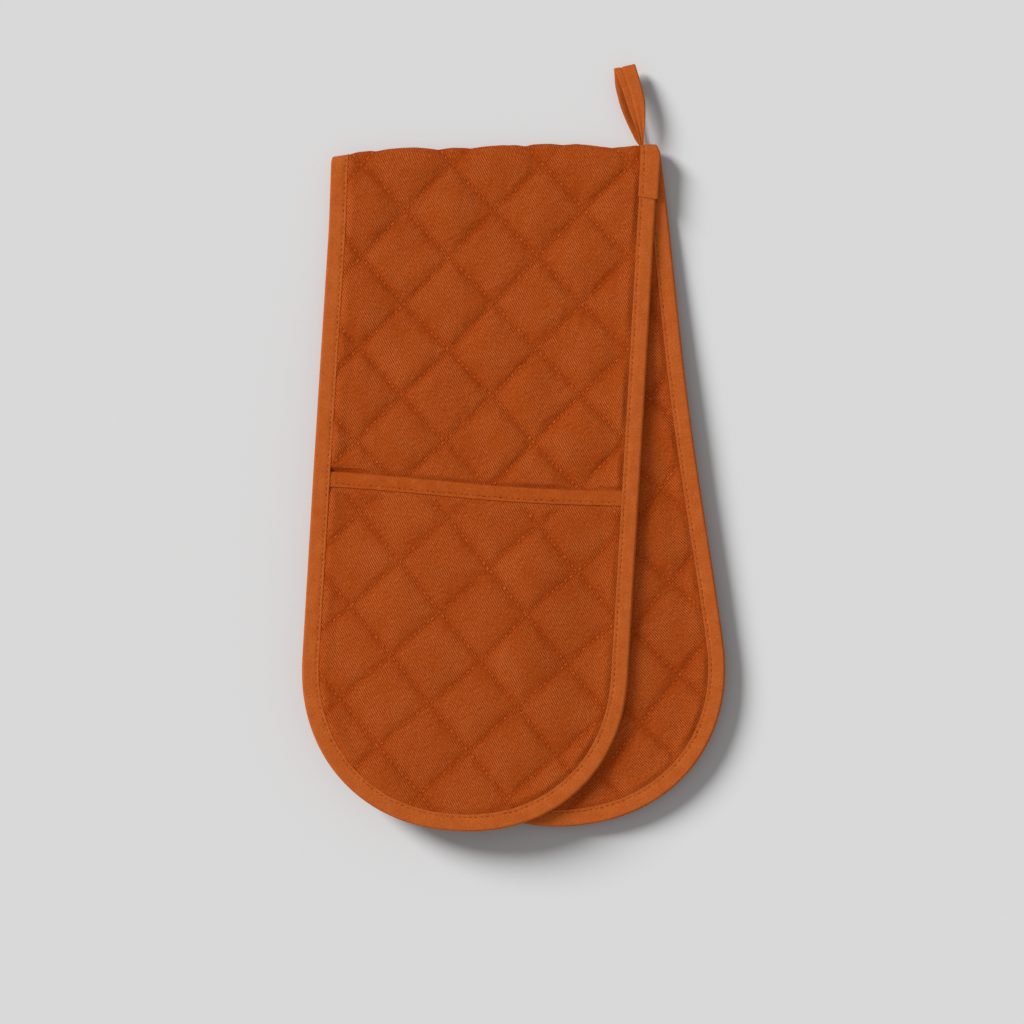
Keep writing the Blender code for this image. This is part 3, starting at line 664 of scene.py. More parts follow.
class Nodes:
    """Short way to write a material's node tree."""

    def __init__(self, name, roughness, sheen):
        self.material = bpy.data.materials.new(name)
        self.material.use_nodes = True
        self.tree = self.material.node_tree
        self.shader = self.tree.nodes["Principled BSDF"]
        set_inputs(self.shader, {"Roughness": roughness, "Sheen Weight": sheen, **FIBRES})

    def add(self, kind, settings=(), **links):
        node = self.tree.nodes.new(kind)
        for key, value in dict(settings).items():
            setattr(node, key, value)
        for key, value in links.items():
            numbered = key[0] == "i" and key[1:].isdigit()
            socket = node.inputs[int(key[1:]) if numbered else key.replace("_", " ")]
            if isinstance(value, bpy.types.NodeSocket):
                self.tree.links.new(value, socket)
            else:
                socket.default_value = value
        return node

    def math(self, operation, first, second=0.0, third=0.0):
        settings = {"operation": operation}
        return self.add("ShaderNodeMath", settings, i0=first, i1=second, i2=third).outputs[0]

    def total(self, values, shares):
        """Sum of values, each times its share."""
        found = 0.0
        for value, share in zip(values, shares):
            found = self.math("MULTIPLY_ADD", value, share, found)
        return found

    def wave(self, turns):
        """Wave between 0 and 1 over a number of turns."""
        sine = self.math("SINE", self.math("MULTIPLY", turns, 2 * math.pi))
        return self.math("MULTIPLY_ADD", sine, 0.5, 0.5)

    def vector(self, operation, first, second):
        return self.add("ShaderNodeVectorMath", {"operation": operation}, i0=first, i1=second).outputs[0]

    def strip(self):
        """Flat coordinates of the cloth, together and one by one."""
        flat = self.add("ShaderNodeAttribute", {"attribute_name": "strip"}).outputs["Vector"]
        return flat, self.add("ShaderNodeSeparateXYZ", i0=flat).outputs

    def noise(self, flat, size, detail=2.0, roughness=0.5):
        grain = {"Scale": 1 / size, "Detail": detail, "Roughness": roughness}
        return self.add("ShaderNodeTexNoise", Vector=flat, **grain).outputs[0]

    def ramp(self, factor, positions, shades):
        node = self.add("ShaderNodeValToRGB", Fac=factor)
        while len(node.color_ramp.elements) < len(shades):
            node.color_ramp.elements.new(0.5)
        for element, position, shade in zip(node.color_ramp.elements, positions, shades):
            element.position = position
            element.color = shade
        return node.outputs[0]

    def finish(self, shade, height, strength, distance):
        bump = self.add("ShaderNodeBump", Height=height, Strength=strength, Distance=distance)
        self.tree.links.new(shade, self.shader.inputs["Base Color"])
        self.tree.links.new(bump.outputs[0], self.shader.inputs["Normal"])
        return self.material


CLOTH_SHADES = colour(126, 38, 0), colour(161, 67, 14), colour(198, 106, 54)
TAPE_SHADES = colour(160, 70, 20), colour(180, 87, 33), colour(198, 105, 50)
MOUTH_SHADES = colour(150, 60, 12), colour(171, 76, 21), colour(192, 98, 44)
# Quilting thread is painted lighter than the cloth it matches: a painted highlight on the stitches.
QUILT_THREAD_HIGHLIGHT_COLOUR = colour(202, 98, 36)
# Edge tape thread is painted darker than the tape it matches: painted shade of the stitch holes.
TAPE_THREAD_SHADE_COLOUR = colour(164, 71, 22)
# Mouth thread is painted dark: painted shade of the stitch groove and holes.
MOUTH_THREAD_SHADE_COLOUR = colour(146, 56, 10)

# A surface is roughness and sheen, a detail a noise's levels and roughness, a relief strength and height
FIBRES = {"Sheen Roughness": 0.5, "Sheen Tint": colour(235, 150, 90), "Specular IOR Level": 0.06}
CLOTH_SURFACE = 0.90, 0.05
CLOTH_TONES = 0.12, 0.41, 0.70
# Share of red, green and blue taken off where shade is painted along the quilted lines.
PAINTED_CREASE_SHADE = 0.16, 0.34, 0.65
WALE_PERIOD = 0.00120
YARN_PERIOD = 0.00135
YARN_SHIFT_SHARE = 0.37
WEAVE_SHARES = 0.80, 0.20
WOBBLE = 0.00060
WOBBLE_SIZE = 0.0033
FUZZ_SIZE = 0.00077
FUZZ_DETAIL = 3.0, 0.62
STREAK = 1.0, 0.45, 1.0
CLOUD_SIZE = 0.0260
CLOUD_DETAIL = 3.0, 0.60
PATCH_SIZE = 0.0133
PATCH_GAIN = 2.2
PATCH_LOSS = 0.45
PATCH_LEAST = 0.18
CONTRAST_SHARE = 0.5
CLOTH_TONE_SHARES = 1.0, 0.66, 0.16
CLOTH_RELIEF_SHARES = 1.0, 0.5
CLOTH_RELIEF = 0.60, 0.00030
TAPE_SURFACE = 0.88, 0.06
TAPE_TONES = 0.30, 0.50, 0.70
TAPE_WEAVE_PERIOD = 0.00075
TAPE_FUZZ_SIZE = 0.0010
TAPE_FUZZ_DETAIL = 3.0, 0.70
TAPE_CLOUD_SIZE = 0.0083
TAPE_TONE_SHARES = 0.70, 0.30, 0.05
TAPE_RELIEF_SHARES = 1.0, 0.25
TAPE_RELIEF = 0.45, 0.00020
THREAD_SURFACE = 0.80, 0.05
THREAD_TONES = 0.35, 0.65
THREAD_DARK_SHARE = 0.65
THREAD_GRAIN_SIZE = 0.0022
THREAD_RELIEF = 0.30, 0.00010


def twill():
    """Cotton twill: diagonal wales broken into short yarn floats, with an uneven dye and painted shade along
    the quilted lines.
    """
    n = Nodes("twill_cloth", *CLOTH_SURFACE)
    flat, parts = n.strip()
    across = n.math("MULTIPLY_ADD", n.noise(flat, WOBBLE_SIZE), WOBBLE, parts[0])
    wales = n.math("DIVIDE", across, WALE_PERIOD)
    shift = n.math("MULTIPLY", n.math("FLOOR", wales), YARN_SHIFT_SHARE)
    yarns = n.math("ADD", n.math("DIVIDE", parts[1], YARN_PERIOD), shift)
    weave = n.total((n.wave(wales), n.wave(yarns)), WEAVE_SHARES)
    fuzz = n.noise(n.vector("MULTIPLY", flat, STREAK), FUZZ_SIZE, *FUZZ_DETAIL)
    clouds = n.noise(flat, CLOUD_SIZE, *CLOUD_DETAIL)
    patches = n.math("MULTIPLY_ADD", n.noise(flat, PATCH_SIZE), PATCH_GAIN, -PATCH_LOSS)
    contrast = n.math("MULTIPLY", n.math("MAXIMUM", patches, PATCH_LEAST), CONTRAST_SHARE)
    plain = n.math("MULTIPLY", n.math("SUBTRACT", weave, 0.5), contrast)
    shade = n.ramp(n.total((plain, fuzz, clouds), CLOTH_TONE_SHARES), CLOTH_TONES, CLOTH_SHADES)
    # Painted shade: the colour is darkened and reddened along the quilted lines and in the mouth's gap.
    crease = n.add("ShaderNodeAttribute", {"attribute_name": "crease"}).outputs["Fac"]
    kept = n.vector("SUBTRACT", (1, 1, 1), n.vector("MULTIPLY", crease, PAINTED_CREASE_SHADE))
    height = n.total((plain, fuzz), CLOTH_RELIEF_SHARES)
    return n.finish(n.vector("MULTIPLY", shade, kept), height, *CLOTH_RELIEF)


def tape_cloth(name, shades):
    """Plain woven cotton tape with a fine uneven grain."""
    n = Nodes(name, *TAPE_SURFACE)
    flat, parts = n.strip()
    turns = 2 * math.pi / TAPE_WEAVE_PERIOD
    weave = n.math("MULTIPLY", *[n.math("SINE", n.math("MULTIPLY", parts[k], turns)) for k in (0, 1)])
    fuzz = n.noise(flat, TAPE_FUZZ_SIZE, *TAPE_FUZZ_DETAIL)
    clouds = n.noise(flat, TAPE_CLOUD_SIZE, *CLOUD_DETAIL)
    shade = n.ramp(n.total((fuzz, clouds, weave), TAPE_TONE_SHARES), TAPE_TONES, shades)
    return n.finish(shade, n.total((fuzz, weave), TAPE_RELIEF_SHARES), *TAPE_RELIEF)


def thread(name, main):
    """Spun thread with a slight twist of light and dark."""
    n = Nodes(name, *THREAD_SURFACE)
    grain = n.noise(n.add("ShaderNodeTexCoord").outputs["Object"], THREAD_GRAIN_SIZE)
    dark = tuple(THREAD_DARK_SHARE * c for c in main[:3]) + (1,)
    shade = n.ramp(grain, THREAD_TONES, (dark, main))
    return n.finish(shade, grain, *THREAD_RELIEF)


TWILL = twill()
TAPE_FINISH = tape_cloth("edge_tape", TAPE_SHADES)
MOUTH_FINISH = tape_cloth("mouth_tape", MOUTH_SHADES)
# Quilting thread with a painted highlight.
HIGHLIGHTED_QUILT_THREAD = thread("quilting_thread_painted_highlight", QUILT_THREAD_HIGHLIGHT_COLOUR)
# Mouth thread with painted shade.
SHADED_MOUTH_THREAD = thread("mouth_thread", MOUTH_THREAD_SHADE_COLOUR)
# Edge tape thread with painted shade.
SHADED_TAPE_THREAD = thread("tape_thread_painted_shade", TAPE_THREAD_SHADE_COLOUR)


# Baking pieces in place

def bend_over_fold(made):
    """Bakes the piece's transform into its mesh; place() has already folded its points."""
    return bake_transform(made)


def bend_over_mouth(made, label, hand):
    """Bakes the piece's transform into its mesh; the start and end points found on the mouth are not used."""
    side = SIDES[label]
    start = place(hand * (HALF_WIDTH - BINDING_WIDTH), side * TIP_START, 0.0)
    end = place(0.0, side * TIP_START, 0.0)
    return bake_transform(made)


# Edge tape

LIP_BULGE = 0.00024
BULGE_REACH = 1.6
BULGE_POWER = 0.7
LIP_ROUNDING = 0.0015
STITCH_DIP = 0.00030
STITCH_DIP_WIDTH = 0.0006
TAPE_STATION = 0.0016
TAPE_RIPPLE_CELL = 0.0060
TAPE_RIPPLE_HEIGHT = 0.00018
TAPE_RIPPLE = Noise(41, TAPE_RIPPLE_CELL)
EDGE_SCALLOP = 0.00010
HEM_BACKS = 0.0, 0.00025, 0.0007
HEM_DROPS = 0.00006, 0.00001, 0.0
FACE_START = 0.0010
HIDDEN_GAP = 0.0001
ROUND_STEPS = 12
FACE_RINGS = 12
HIDDEN_RINGS = 5


def edge_point(t, inset, side):
    """Point of the edge's contour: t runs to 1 up the right side, to 2 round the tip, to 3 down the left."""
    reach = HALF_WIDTH - inset
    share = np.where(t <= 1, t, 3 - t)
    sign = np.where(t <= 1.5, 1.0, -1.0)
    crease = along_at(0, sign * reach)
    straight = sign * reach, crease + (side * TIP_START - crease) * share
    round_u, round_v = tip_curve(inset, np.clip(t - 1, 0, 1) * math.pi)
    on_tip = (t > 1) & (t < 2)
    return np.where(on_tip, round_u, straight[0]), np.where(on_tip, side * round_v, straight[1])


def edge_stations(side, spacing):
    """Evenly spaced values of t along one half's edge."""
    t = np.linspace(0, 3, EDGE_SAMPLES)
    length = lengths_along(*edge_point(t, BINDING_WIDTH, side))
    count = round(length[-1] / spacing)
    at = np.linspace(0, length[-1], count + 1)
    return np.interp(at, length, t), at


def lip_rise(v):
    return LIP_RISE * smooth((np.abs(v) - MOUTH + LIP_STEP) / LIP_STEP)


def tape_bulge(share):
    """Bulge of a tape's face, from 0 at its outer fold to nearly all at its inner edge."""
    return np.sin(math.pi * np.clip(share, 0, 1) / BULGE_REACH) ** BULGE_POWER


def groove(inset, seam):
    """Depth of the groove that a row of stitches presses into a tape."""
    return STITCH_DIP * hump(inset, seam, STITCH_DIP_WIDTH)


def lip_level(u, v):
    """Outer face of the edge tape."""
    inset = inset_at(u, v)
    relief = LIP_BULGE * tape_bulge(inset / BINDING_WIDTH) - groove(inset, BINDING_WIDTH - STITCH_INSET)
    return LIP_FACE + lip_rise(v) + relief + TAPE_RIPPLE_HEIGHT * TAPE_RIPPLE(u, v)


def under_lip_level(u, v):
    """Inner face of the edge tape, which meets the other half."""
    return MEETING + groove(inset_at(u, v), BINDING_WIDTH - STITCH_INSET)


def tape_face(width, rounding, count):
    """Places across a tape's face from its inner edge, each with how far the face drops there."""
    backs = np.concatenate([HEM_BACKS, np.linspace(FACE_START, width - rounding, count)])
    return list(zip(backs, np.concatenate([HEM_DROPS, np.zeros(count)])))


def ring(u, v, level, rise, across, along):
    """Points (u, v, level) round a tape's section, with their flat places across the tape and along it."""
    q = level(u, v) if callable(level) else np.broadcast_to(level, u.shape)
    return u, v, q + rise, np.full(len(u), across), along


def round_edge(add, width, rounding, steps, middle, reach):
    """Adds the rings round a tape's outer fold, from its outer face to its under one."""
    for k in range(1, steps):
        turn = math.pi / 2 - math.pi * k / steps
        spread = width + rounding * (math.pi / 2 - turn)
        add(rounding * (1 - math.cos(turn)), middle + reach * math.sin(turn), spread)


def swept_tape(name, rings, finish):
    u, v, q, across, along = (np.stack(part, 1) for part in zip(*rings))
    flat = np.stack([across, along, np.zeros(u.shape)], -1)
    made = swept(name, place(u, v, q), flat, finish)
    return made


def edge_tape(label, side):
    t, length = edge_stations(side, TAPE_STATION)
    scallop = EDGE_SCALLOP * np.cos(2 * math.pi * length / STITCH_PITCH)
    high = lip_level(*edge_point(t, LIP_ROUNDING, side))
    low = under_lip_level(*edge_point(t, LIP_ROUNDING, side))
    middle, reach = (high + low) / 2, (high - low) / 2
    face = tape_face(BINDING_WIDTH, LIP_ROUNDING, FACE_RINGS)
    rings = []

    def add(inset, level, spread, rise=0.0):
        rings.append(ring(*edge_point(t, inset, side), level, rise, spread, length))

    for back, drop in face:
        add(BINDING_WIDTH - back + scallop * (back < FACE_START), lip_level, back, -drop)
    round_edge(add, BINDING_WIDTH, LIP_ROUNDING, ROUND_STEPS, middle, reach)
    for back, drop in reversed(face):
        add(BINDING_WIDTH - back, under_lip_level, 2 * BINDING_WIDTH + math.pi * LIP_ROUNDING - back, drop)
    for inset in np.linspace(BINDING_WIDTH - HIDDEN_GAP, LIP_ROUNDING, HIDDEN_RINGS):
        add(inset, under_lip_level, 0.0, TAPE)
    for k in range(1, ROUND_STEPS // 2):
        turn = -math.pi / 2 + 2 * math.pi * k / ROUND_STEPS
        inset = LIP_ROUNDING - (LIP_ROUNDING - TAPE) * math.cos(turn)
        add(inset, middle + (reach - TAPE) * math.sin(turn), 0.0)
    for inset in np.linspace(LIP_ROUNDING, BINDING_WIDTH - HIDDEN_GAP, HIDDEN_RINGS):
        add(inset, lip_level, 0.0, -TAPE)

    made = swept_tape(label + "_edge_tape", rings, TAPE_FINISH)
    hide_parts(label + "_edge_binding", "fold_binding_" + ("right" if side < 0 else "left"))
    return bend_over_fold(made)


def swept(name, points, flat, finish, closed=False):
    """Closed body through sections: points[station, place in the section, axis]."""
    faces = tube_faces(*points.shape[:2], closed)
    made = piece(name, points.reshape(-1, 3), faces, finish, flat.reshape(-1, 3))
    outward(made)
    return made


def outward(made):
    """Turn a closed mesh's faces out."""
    mesh = bmesh.new()
    mesh.from_mesh(made.data)
    bmesh.ops.recalc_face_normals(mesh, faces=mesh.faces)
    for face in mesh.faces:
        if len(face.verts) > 4:
            for edge in face.edges:
                edge.smooth = False
    mesh.to_mesh(made.data)
    mesh.free()
    made.data.shade_smooth()


def edge_stitches(label, side, level, suffix, out, node=None):
    t, _ = edge_stations(side, STITCH_PITCH)
    t = (t[1:] + t[:-1]) / 2
    step = np.diff(t).mean() / 8
    inset = BINDING_WIDTH - STITCH_INSET
    middle = np.stack(edge_point(t, inset, side), -1)
    after, before = edge_point(t + step, inset, side), edge_point(t - step, inset, side)
    way = unit(np.stack(after, -1) - np.stack(before, -1))
    made = stitches(label + "_edge_stitches_" + suffix, middle, way, level, SHADED_TAPE_THREAD, out=out)
    if node:
        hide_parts(node)
    return bend_over_fold(made)


# Halves

def half(label):
    side = SIDES[label]
    outline = half_outline(side, GRID)
    fine, coarse = (spots_in(outline, BODY_QUILT, -1, spacing) for spacing in (GRID, COARSE_GRID))
    hidden = MOUTH + MOUTH_WIDTH + MOUTH_SOFT_RUN
    over = np.concatenate([fine[np.abs(fine[:, 1]) < hidden], coarse[np.abs(coarse[:, 1]) >= hidden]])
    levels = body_outer, body_inner, body_painted_shade
    made = padded_panel(label + "_quilted_half", outline, over, fine, *levels, TWILL)
    nodes = [label + "_outer_cloth", label + "_wadding", label + "_inner_cloth", label + "_pocket_seam"]
    if label == "back":
        nodes += ["fold_outer_cloth", "fold_wadding", "fold_inner_cloth"]
    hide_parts(*nodes)
    bend_over_fold(made)

    def shown_outside(u, v):
        return (inset_at(u, v) > BINDING_WIDTH) & (np.abs(v) < MOUTH + MOUTH_WIDTH)

    def shown_inside(u, v):
        return inset_at(u, v) > BINDING_WIDTH + STITCH_PITCH / 4

    sides = ("outside", body_outer, shown_outside, 1), ("inside", body_inner, shown_inside, -1)
    for suffix, level, keep, out in sides:
        name = f"{label}_quilt_stitches_{suffix}"
        bend_over_fold(quilt_stitches(name, BODY_QUILT, -1, side, level, keep, out))
    edge_tape(label, side)
    edge_stitches(label, side, lip_level, "outside", 1, label + "_edge_thread")
    edge_stitches(label, side, under_lip_level, "inside", -1)


# Pockets

MOUTH_BULGE = 0.00020
MOUTH_RIPPLE_CELL = 0.0080
MOUTH_RIPPLE = Noise(47, MOUTH_RIPPLE_CELL)
MOUTH_STATION = 0.0016
MOUTH_TUCK = 0.0015
MOUTH_ROUNDING = 0.0012
MOUTH_ROUND_STEPS = 10
MOUTH_FACE_RINGS = 10
MOUTH_UNDER_RINGS = 6
MOUTH_HIDDEN_RINGS = 4


def mouth_over(u, v):
    """Outer face of the tape that binds the mouth."""
    back = np.abs(v) - MOUTH
    relief = MOUTH_BULGE * tape_bulge(back / MOUTH_WIDTH) - groove(back, MOUTH_WIDTH - MOUTH_STITCH_INSET)
    return pocket_base(u, v) + TAPE + relief + TAPE_RIPPLE_HEIGHT * MOUTH_RIPPLE(u, v)


def mouth_under(u, v):
    return pocket_lining(u, v) - TAPE


def mouth_tape(label, side, hand):
    reach = HALF_WIDTH - BINDING_WIDTH + MOUTH_TUCK
    u = hand * np.linspace(0, reach, round(reach / MOUTH_STATION) + 1)
    near = np.full(len(u), side * (MOUTH + MOUTH_ROUNDING))
    high, low = mouth_over(u, near), mouth_under(u, near)
    middle, height = (high + low) / 2, (high - low) / 2
    rings = []

    def add(back, level, spread, rise=0.0):
        v = np.full(len(u), side * (MOUTH + back))
        rings.append(ring(u, v, level, rise, spread, u))

    for back, drop in tape_face(MOUTH_WIDTH, MOUTH_ROUNDING, MOUTH_FACE_RINGS):
        add(MOUTH_WIDTH - back, mouth_over, back, -drop)
    round_edge(add, MOUTH_WIDTH, MOUTH_ROUNDING, MOUTH_ROUND_STEPS, middle, height)
    for back in np.linspace(MOUTH_ROUNDING, MOUTH_WIDTH, MOUTH_UNDER_RINGS):
        add(back, mouth_under, 2 * MOUTH_WIDTH + back)
    for back in np.linspace(MOUTH_WIDTH, MOUTH_ROUNDING, MOUTH_HIDDEN_RINGS):
        add(back, mouth_under, 0.0, TAPE - HIDDEN_GAP)
    add(TAPE, middle, 0.0)
    for back in np.linspace(MOUTH_ROUNDING, MOUTH_WIDTH - HIDDEN_GAP, MOUTH_HIDDEN_RINGS):
        add(back, mouth_over, 0.0, HIDDEN_GAP - TAPE)

    made = swept_tape(f"{label}_mouth_tape_{HANDS[hand]}", rings, MOUTH_FINISH)
    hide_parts(label + "_mouth_binding")
    return bend_over_mouth(made, label, hand)


def mouth_stitches(label, side, hand):
    reach = HALF_WIDTH - BINDING_WIDTH - STITCH_PITCH / 2
    u = hand * np.arange(STITCH_PITCH / 2, reach, STITCH_PITCH)
    middle = np.stack([u, np.full(len(u), side * (MOUTH + MOUTH_WIDTH - MOUTH_STITCH_INSET))], -1)
    way = np.tile((1.0, 0.0), (len(u), 1))
    made = stitches(f"{label}_mouth_stitches_{HANDS[hand]}", middle, way, mouth_over, SHADED_MOUTH_THREAD)
    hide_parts(label + "_mouth_thread")
    return bend_over_mouth(made, label, hand)


def pocket(label):
    side = SIDES[label]
    for hand, word in HANDS.items():
        outline = pocket_outline(side, hand, GRID)
        spots = [spots_in(outline, POCKET_QUILT, side, spacing) for spacing in (GRID, COARSE_GRID)]
        levels = pocket_cover, pocket_lining, pocket_painted_shade
        made = padded_panel(f"{label}_pocket_{word}", outline, *spots, *levels, TWILL)
        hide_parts(label + "_pocket_cover", label + "_pocket_wadding", label + "_pocket_lining")
        bend_over_mouth(made, label, hand)

        def shown(u, v):
            past = side * v > MOUTH + MOUTH_WIDTH + STITCH_PITCH / 2
            return past & (inset_at(u, v) > BINDING_WIDTH + STITCH_PITCH / 4) & (hand * u > 0)

        name = f"{label}_pocket_stitches_{word}"
        sewn = quilt_stitches(name, POCKET_QUILT, side, side, pocket_cover, shown)
        bend_over_mouth(sewn, label, hand)
        mouth_tape(label, side, hand)
        mouth_stitches(label, side, hand)


# Overlap of the edge tape beside the fold

JOIN_WIDTH = 0.0106
JOIN_LENGTH = 0.0320
JOIN_SLANT = 0.0020
JOIN_OUTSIDE = 0.0014
JOIN_ROUNDING = 0.0012
JOIN_STITCH_INSET = 0.0023
JOIN_RISE_SHARE = 1.3
JOIN_STATIONS = 28
JOIN_ROUND_STEPS = 7
JOIN_FACE_RINGS = 8


def join_level(u, v):
    inset = HALF_WIDTH - np.asarray(u)
    relief = LIP_BULGE * tape_bulge(inset / JOIN_WIDTH) - groove(inset, JOIN_WIDTH - JOIN_STITCH_INSET)
    return LIP_FACE + JOIN_RISE_SHARE * TAPE + relief


def binding_join():
    shares = np.linspace(0, 1, JOIN_STATIONS)
    start, outside = HALF_WIDTH - JOIN_WIDTH, HALF_WIDTH + JOIN_OUTSIDE
    high = float(join_level(outside - JOIN_ROUNDING, 0))
    rings = []

    def add(across, level, spread, rise=0.0):
        u = np.full(JOIN_STATIONS, across)
        v = along_at(-shares * (JOIN_LENGTH + JOIN_SLANT * (across - start) / JOIN_WIDTH), u)
        rings.append(ring(u, v, level, rise, spread, v))

    for back, drop in tape_face(JOIN_WIDTH + JOIN_OUTSIDE, JOIN_ROUNDING, JOIN_FACE_RINGS):
        add(start + back, join_level, back, -drop)
    for k in range(1, JOIN_ROUND_STEPS + 1):
        turn = math.pi / 2 * (1 - k / JOIN_ROUND_STEPS)
        level = INNER_FACE + (high - INNER_FACE) * math.sin(turn)
        spread = JOIN_WIDTH + JOIN_OUTSIDE + JOIN_ROUNDING * (math.pi / 2 - turn)
        add(outside - JOIN_ROUNDING * (1 - math.cos(turn)), level, spread)
    add(outside - TAPE, INNER_FACE, 0.0)
    add(outside - TAPE, LIP_FACE - TAPE, 0.0)
    add(HALF_WIDTH - TAPE, LIP_FACE + CLEARANCE, 0.0)
    add(start + HIDDEN_GAP, join_level, 0.0, -TAPE)

    made = swept_tape("binding_join_tape", rings, TAPE_FINISH)
    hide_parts("binding_join")
    bend_over_fold(made)

    across = start + JOIN_STITCH_INSET
    down = np.arange(STITCH_PITCH, JOIN_LENGTH - STITCH_INSET, STITCH_PITCH)
    rows = np.stack([np.full(len(down), across), along_at(-down, across)], -1)
    ways = np.tile((0.0, 1.0), (len(rows), 1))
    sewn = stitches("binding_join_stitches", rows, ways, join_level, SHADED_TAPE_THREAD)
    bend_over_fold(sewn)


# Hanging loop

LOOP_LENGTH = 0.0494
LOOP_WIDTH = 0.0128
LOOP_NECK = 0.0020
LOOP_TAPE = 0.0009
LOOP_GAP = 0.0050
LOOP_TAPER = 0.0300
LOOP_INSET = 0.0096
LOOP_LEAN = math.radians(10.4)
LOOP_SHAPE_SHARE = 0.4
FRONT_STRAND_SHARE = 0.86
FRONT_STRAND_BOW = 0.0019
BACK_STRAND_START = 0.35 * math.pi
BACK_STRAND_END = 0.25 * math.pi
BACK_STRAND_SHIFT = 0.0036
BACK_STRAND_TWIST = 0.46
BACK_STRAND_DEPTH = 0.60
LOOP_SUNK = 0.0014
LOOP_EDGE_POWER = 8
LOOP_RIDGE = 0.00022
LOOP_RIDGE_SHARES = 0.86, 0.12
LOOP_FURROW = 0.00050
LOOP_FURROW_SHARES = -0.30, 0.10
LOOP_CREASE = 0.00016
LOOP_CREASE_RUN = 0.0110
LOOP_CREASE_PACE = 7.0
LOOP_STATIONS = 160
LOOP_POINTS = 21


def loop_frame(turn):
    """Centre, width direction, face direction and width of the loop's tape at a turn of its path."""
    share = (1 - np.cos(turn)) / 2
    sign = np.where(turn <= math.pi, 1.0, -1.0)
    lens = (np.clip(4 * share * (1 - share), 0, 1)) ** LOOP_SHAPE_SHARE
    along = LOOP_TAPE / 2 + share * (LOOP_LENGTH - LOOP_TAPE)
    behind = smooth((turn - math.pi) / BACK_STRAND_START) * smooth((2 * math.pi - turn) / BACK_STRAND_END)
    height = sign * lens * (LOOP_GAP + LOOP_TAPE) / 2 * (1 - (1 - BACK_STRAND_DEPTH) * behind)
    width = LOOP_NECK + (LOOP_WIDTH - LOOP_NECK) * smooth(along / LOOP_TAPER)
    bow = np.sin(math.pi * share)
    width *= 1 - (1 - FRONT_STRAND_SHARE) * bow * (1 - behind)
    shift = FRONT_STRAND_BOW * bow - BACK_STRAND_SHIFT * behind * bow ** 0.5
    neck = np.array([HALF_WIDTH - LOOP_INSET, FOLD_SHIFT + LIP_FACE - LOOP_SUNK, FOLD_MIDDLE])
    lean = np.array([-math.sin(LOOP_LEAN), math.cos(LOOP_LEAN), 0])
    across = np.array([math.cos(LOOP_LEAN), math.sin(LOOP_LEAN), 0])
    up = np.array([0, 0, 1.0])
    centre = neck + along[:, None] * lean + shift[:, None] * across + height[:, None] * up
    way = np.gradient(centre, axis=0)
    way = unit(way - (way @ across)[:, None] * across)
    twist = (BACK_STRAND_TWIST * behind * bow)[:, None]
    wide = across * np.cos(twist) - up * np.sin(twist)
    face = np.cross(wide, way)
    return centre, wide, face, width, along


def loop_ridge(a, along):
    """Height of the tape's face across its width: folded edges, a sewn furrow and soft lengthwise creases."""
    edges = LOOP_RIDGE * hump(np.abs(a), *LOOP_RIDGE_SHARES)
    furrow = LOOP_FURROW * hump(a, *LOOP_FURROW_SHARES)
    creases = LOOP_CREASE * np.sin(LOOP_CREASE_PACE * a + along / LOOP_CREASE_RUN)
    return edges - furrow + creases * smooth(1 - along / LOOP_LENGTH)


def hanging_loop():
    turn = 2 * math.pi * np.arange(LOOP_STATIONS) / LOOP_STATIONS
    centre, across, face, width, along = loop_frame(turn)
    level = np.zeros(LOOP_STATIONS)
    way = np.where(turn <= math.pi, 1, -1)
    rings, flats = [], []
    for side in (1, -1):
        places = np.linspace(-side, side, LOOP_POINTS)
        for a in places if side > 0 else places[1:-1]:
            edge = np.sqrt(1 - np.abs(a) ** LOOP_EDGE_POWER)
            lift = side * LOOP_TAPE / 2 * edge + (loop_ridge(a, along) if side > 0 else level)
            rings.append(centre + across * (a * width / 2)[:, None] + face * lift[:, None])
            flats.append(np.stack([a * width / 2 + side * LOOP_WIDTH, along * way, level], -1))
    made = swept("hanging_loop_tape", np.stack(rings, 1), np.stack(flats, 1), TAPE_FINISH, closed=True)
    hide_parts("hanging_loop")
    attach(made, "hanging_loop")


for label in SIDES:
    half(label)
    pocket(label)
binding_join()
hanging_loop()


# Studio

PHOTO_SCALE = 0.000583
PHOTO_SIZE = 1024
FOLD_PIXEL = (496.5, 150.5)
CAMERA_ROLL = math.radians(-1.95)
LENS = 100.0
SENSOR = 36.0
BACKDROP = colour(217, 217, 217)
AMBIENT = 0.31
FLOOR_KEY = {"share": 1 - AMBIENT, "elevation": 25.0, "azimuth": 142.0, "spread": 20.0}
KEY_SHARE = 0.45
GLOVE_KEY = {"share": KEY_SHARE, "elevation": 38.0, "azimuth": 155.0, "spread": 26.0}
GLOVE_FILL = {"share": 1 - AMBIENT - KEY_SHARE, "elevation": 82.0, "azimuth": 160.0, "spread": 110.0}
FLOOR_GAP = 0.0003
FLOOR_REACH = 6.0


def camera():
    data = bpy.data.cameras.new("camera")
    data.lens = LENS
    data.sensor_width = SENSOR
    made = linked("camera", data)
    right = (PHOTO_SIZE / 2 - FOLD_PIXEL[0]) * PHOTO_SCALE
    down = (PHOTO_SIZE / 2 - FOLD_PIXEL[1]) * PHOTO_SCALE
    x = right * math.cos(CAMERA_ROLL) + down * math.sin(CAMERA_ROLL)
    y = FOLD_SHIFT + OUTER_FACE + right * math.sin(CAMERA_ROLL) - down * math.cos(CAMERA_ROLL)
    height = PHOTO_SIZE * PHOTO_SCALE * LENS / SENSOR
    made.location = (x, y, height + STACK_MIDDLE)
    made.rotation_euler = (0, 0, CAMERA_ROLL)
    bpy.context.scene.camera = made


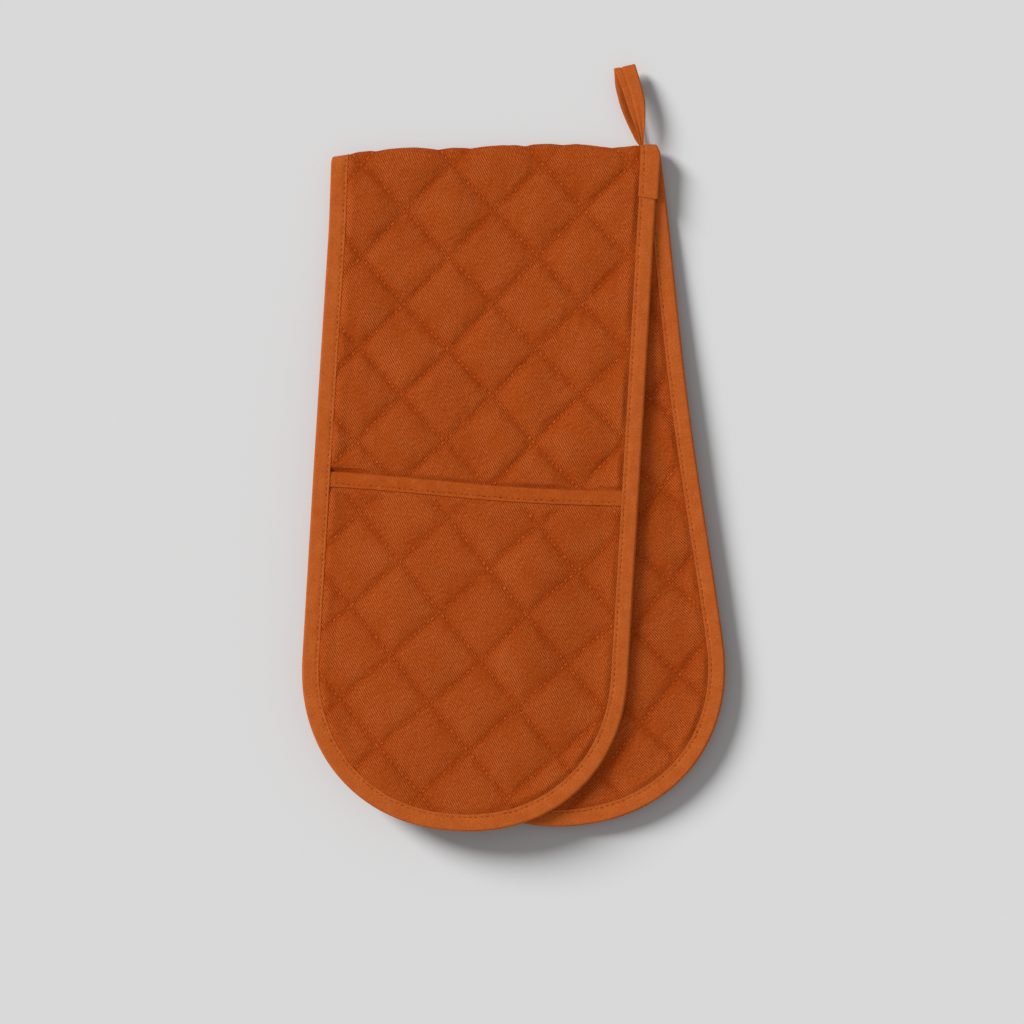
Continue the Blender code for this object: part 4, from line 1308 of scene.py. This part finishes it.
def floor():
    mesh = bpy.data.meshes.new("floor")
    ways = (-1, -1), (1, -1), (1, 1), (-1, 1)
    corners = [(FLOOR_REACH * x, FLOOR_REACH * y, -FLOOR_GAP) for x, y in ways]
    mesh.from_pydata(corners, [], [(0, 1, 2, 3)])
    finish = bpy.data.materials.new("floor")
    finish.use_nodes = True
    looks = {"Base Color": BACKDROP, "Roughness": 1.0, "Specular IOR Level": 0.0}
    set_inputs(finish.node_tree.nodes["Principled BSDF"], looks)
    mesh.materials.append(finish)
    made = linked("floor", mesh)
    return made


def sun(name, ground, state, share, elevation, azimuth, spread):
    """A broad sun that gives a level surface a share of white. It lights the floor alone or all but it."""
    data = bpy.data.lights.new(name, "SUN")
    turn, tilt = math.radians(azimuth), math.radians(elevation)
    data.energy = share * math.pi / math.sin(tilt)
    data.angle = math.radians(spread)
    made = linked(name, data)
    made.rotation_mode = "QUATERNION"
    towards = math.cos(turn) * math.cos(tilt), math.sin(turn) * math.cos(tilt), math.sin(tilt)
    made.rotation_quaternion = Vector(towards).to_track_quat("Z", "Y")
    lit = bpy.data.collections.new(name + "_lights")
    lit.objects.link(ground)
    made.light_linking.receiver_collection = lit
    lit.collection_objects[0].light_linking.link_state = state


def surroundings():
    world = bpy.data.worlds.new("studio")
    bpy.context.scene.world = world
    world.use_nodes = True
    tree = world.node_tree
    surround = tree.nodes["Background"]
    set_inputs(surround, {"Color": (1, 1, 1, 1), "Strength": AMBIENT})
    seen = tree.nodes.new("ShaderNodeBackground")
    set_inputs(seen, {"Color": BACKDROP, "Strength": 1.0})
    path = tree.nodes.new("ShaderNodeLightPath")
    direct = path.outputs["Is Camera Ray"]
    for ray in ("Is Glossy Ray", "Is Transmission Ray"):
        either = tree.nodes.new("ShaderNodeMath")
        either.operation = "MAXIMUM"
        tree.links.new(direct, either.inputs[0])
        tree.links.new(path.outputs[ray], either.inputs[1])
        direct = either.outputs[0]
    mix = tree.nodes.new("ShaderNodeMixShader")
    for number, source in enumerate((direct, surround.outputs[0], seen.outputs[0])):
        tree.links.new(source, mix.inputs[number])
    tree.links.new(mix.outputs[0], tree.nodes["World Output"].inputs["Surface"])


camera()
ground = floor()
sun("floor_key", ground, "INCLUDE", **FLOOR_KEY)
sun("glove_key", ground, "EXCLUDE", **GLOVE_KEY)
sun("glove_fill", ground, "EXCLUDE", **GLOVE_FILL)
surroundings()
bpy.context.scene.view_settings.view_transform = "Standard"
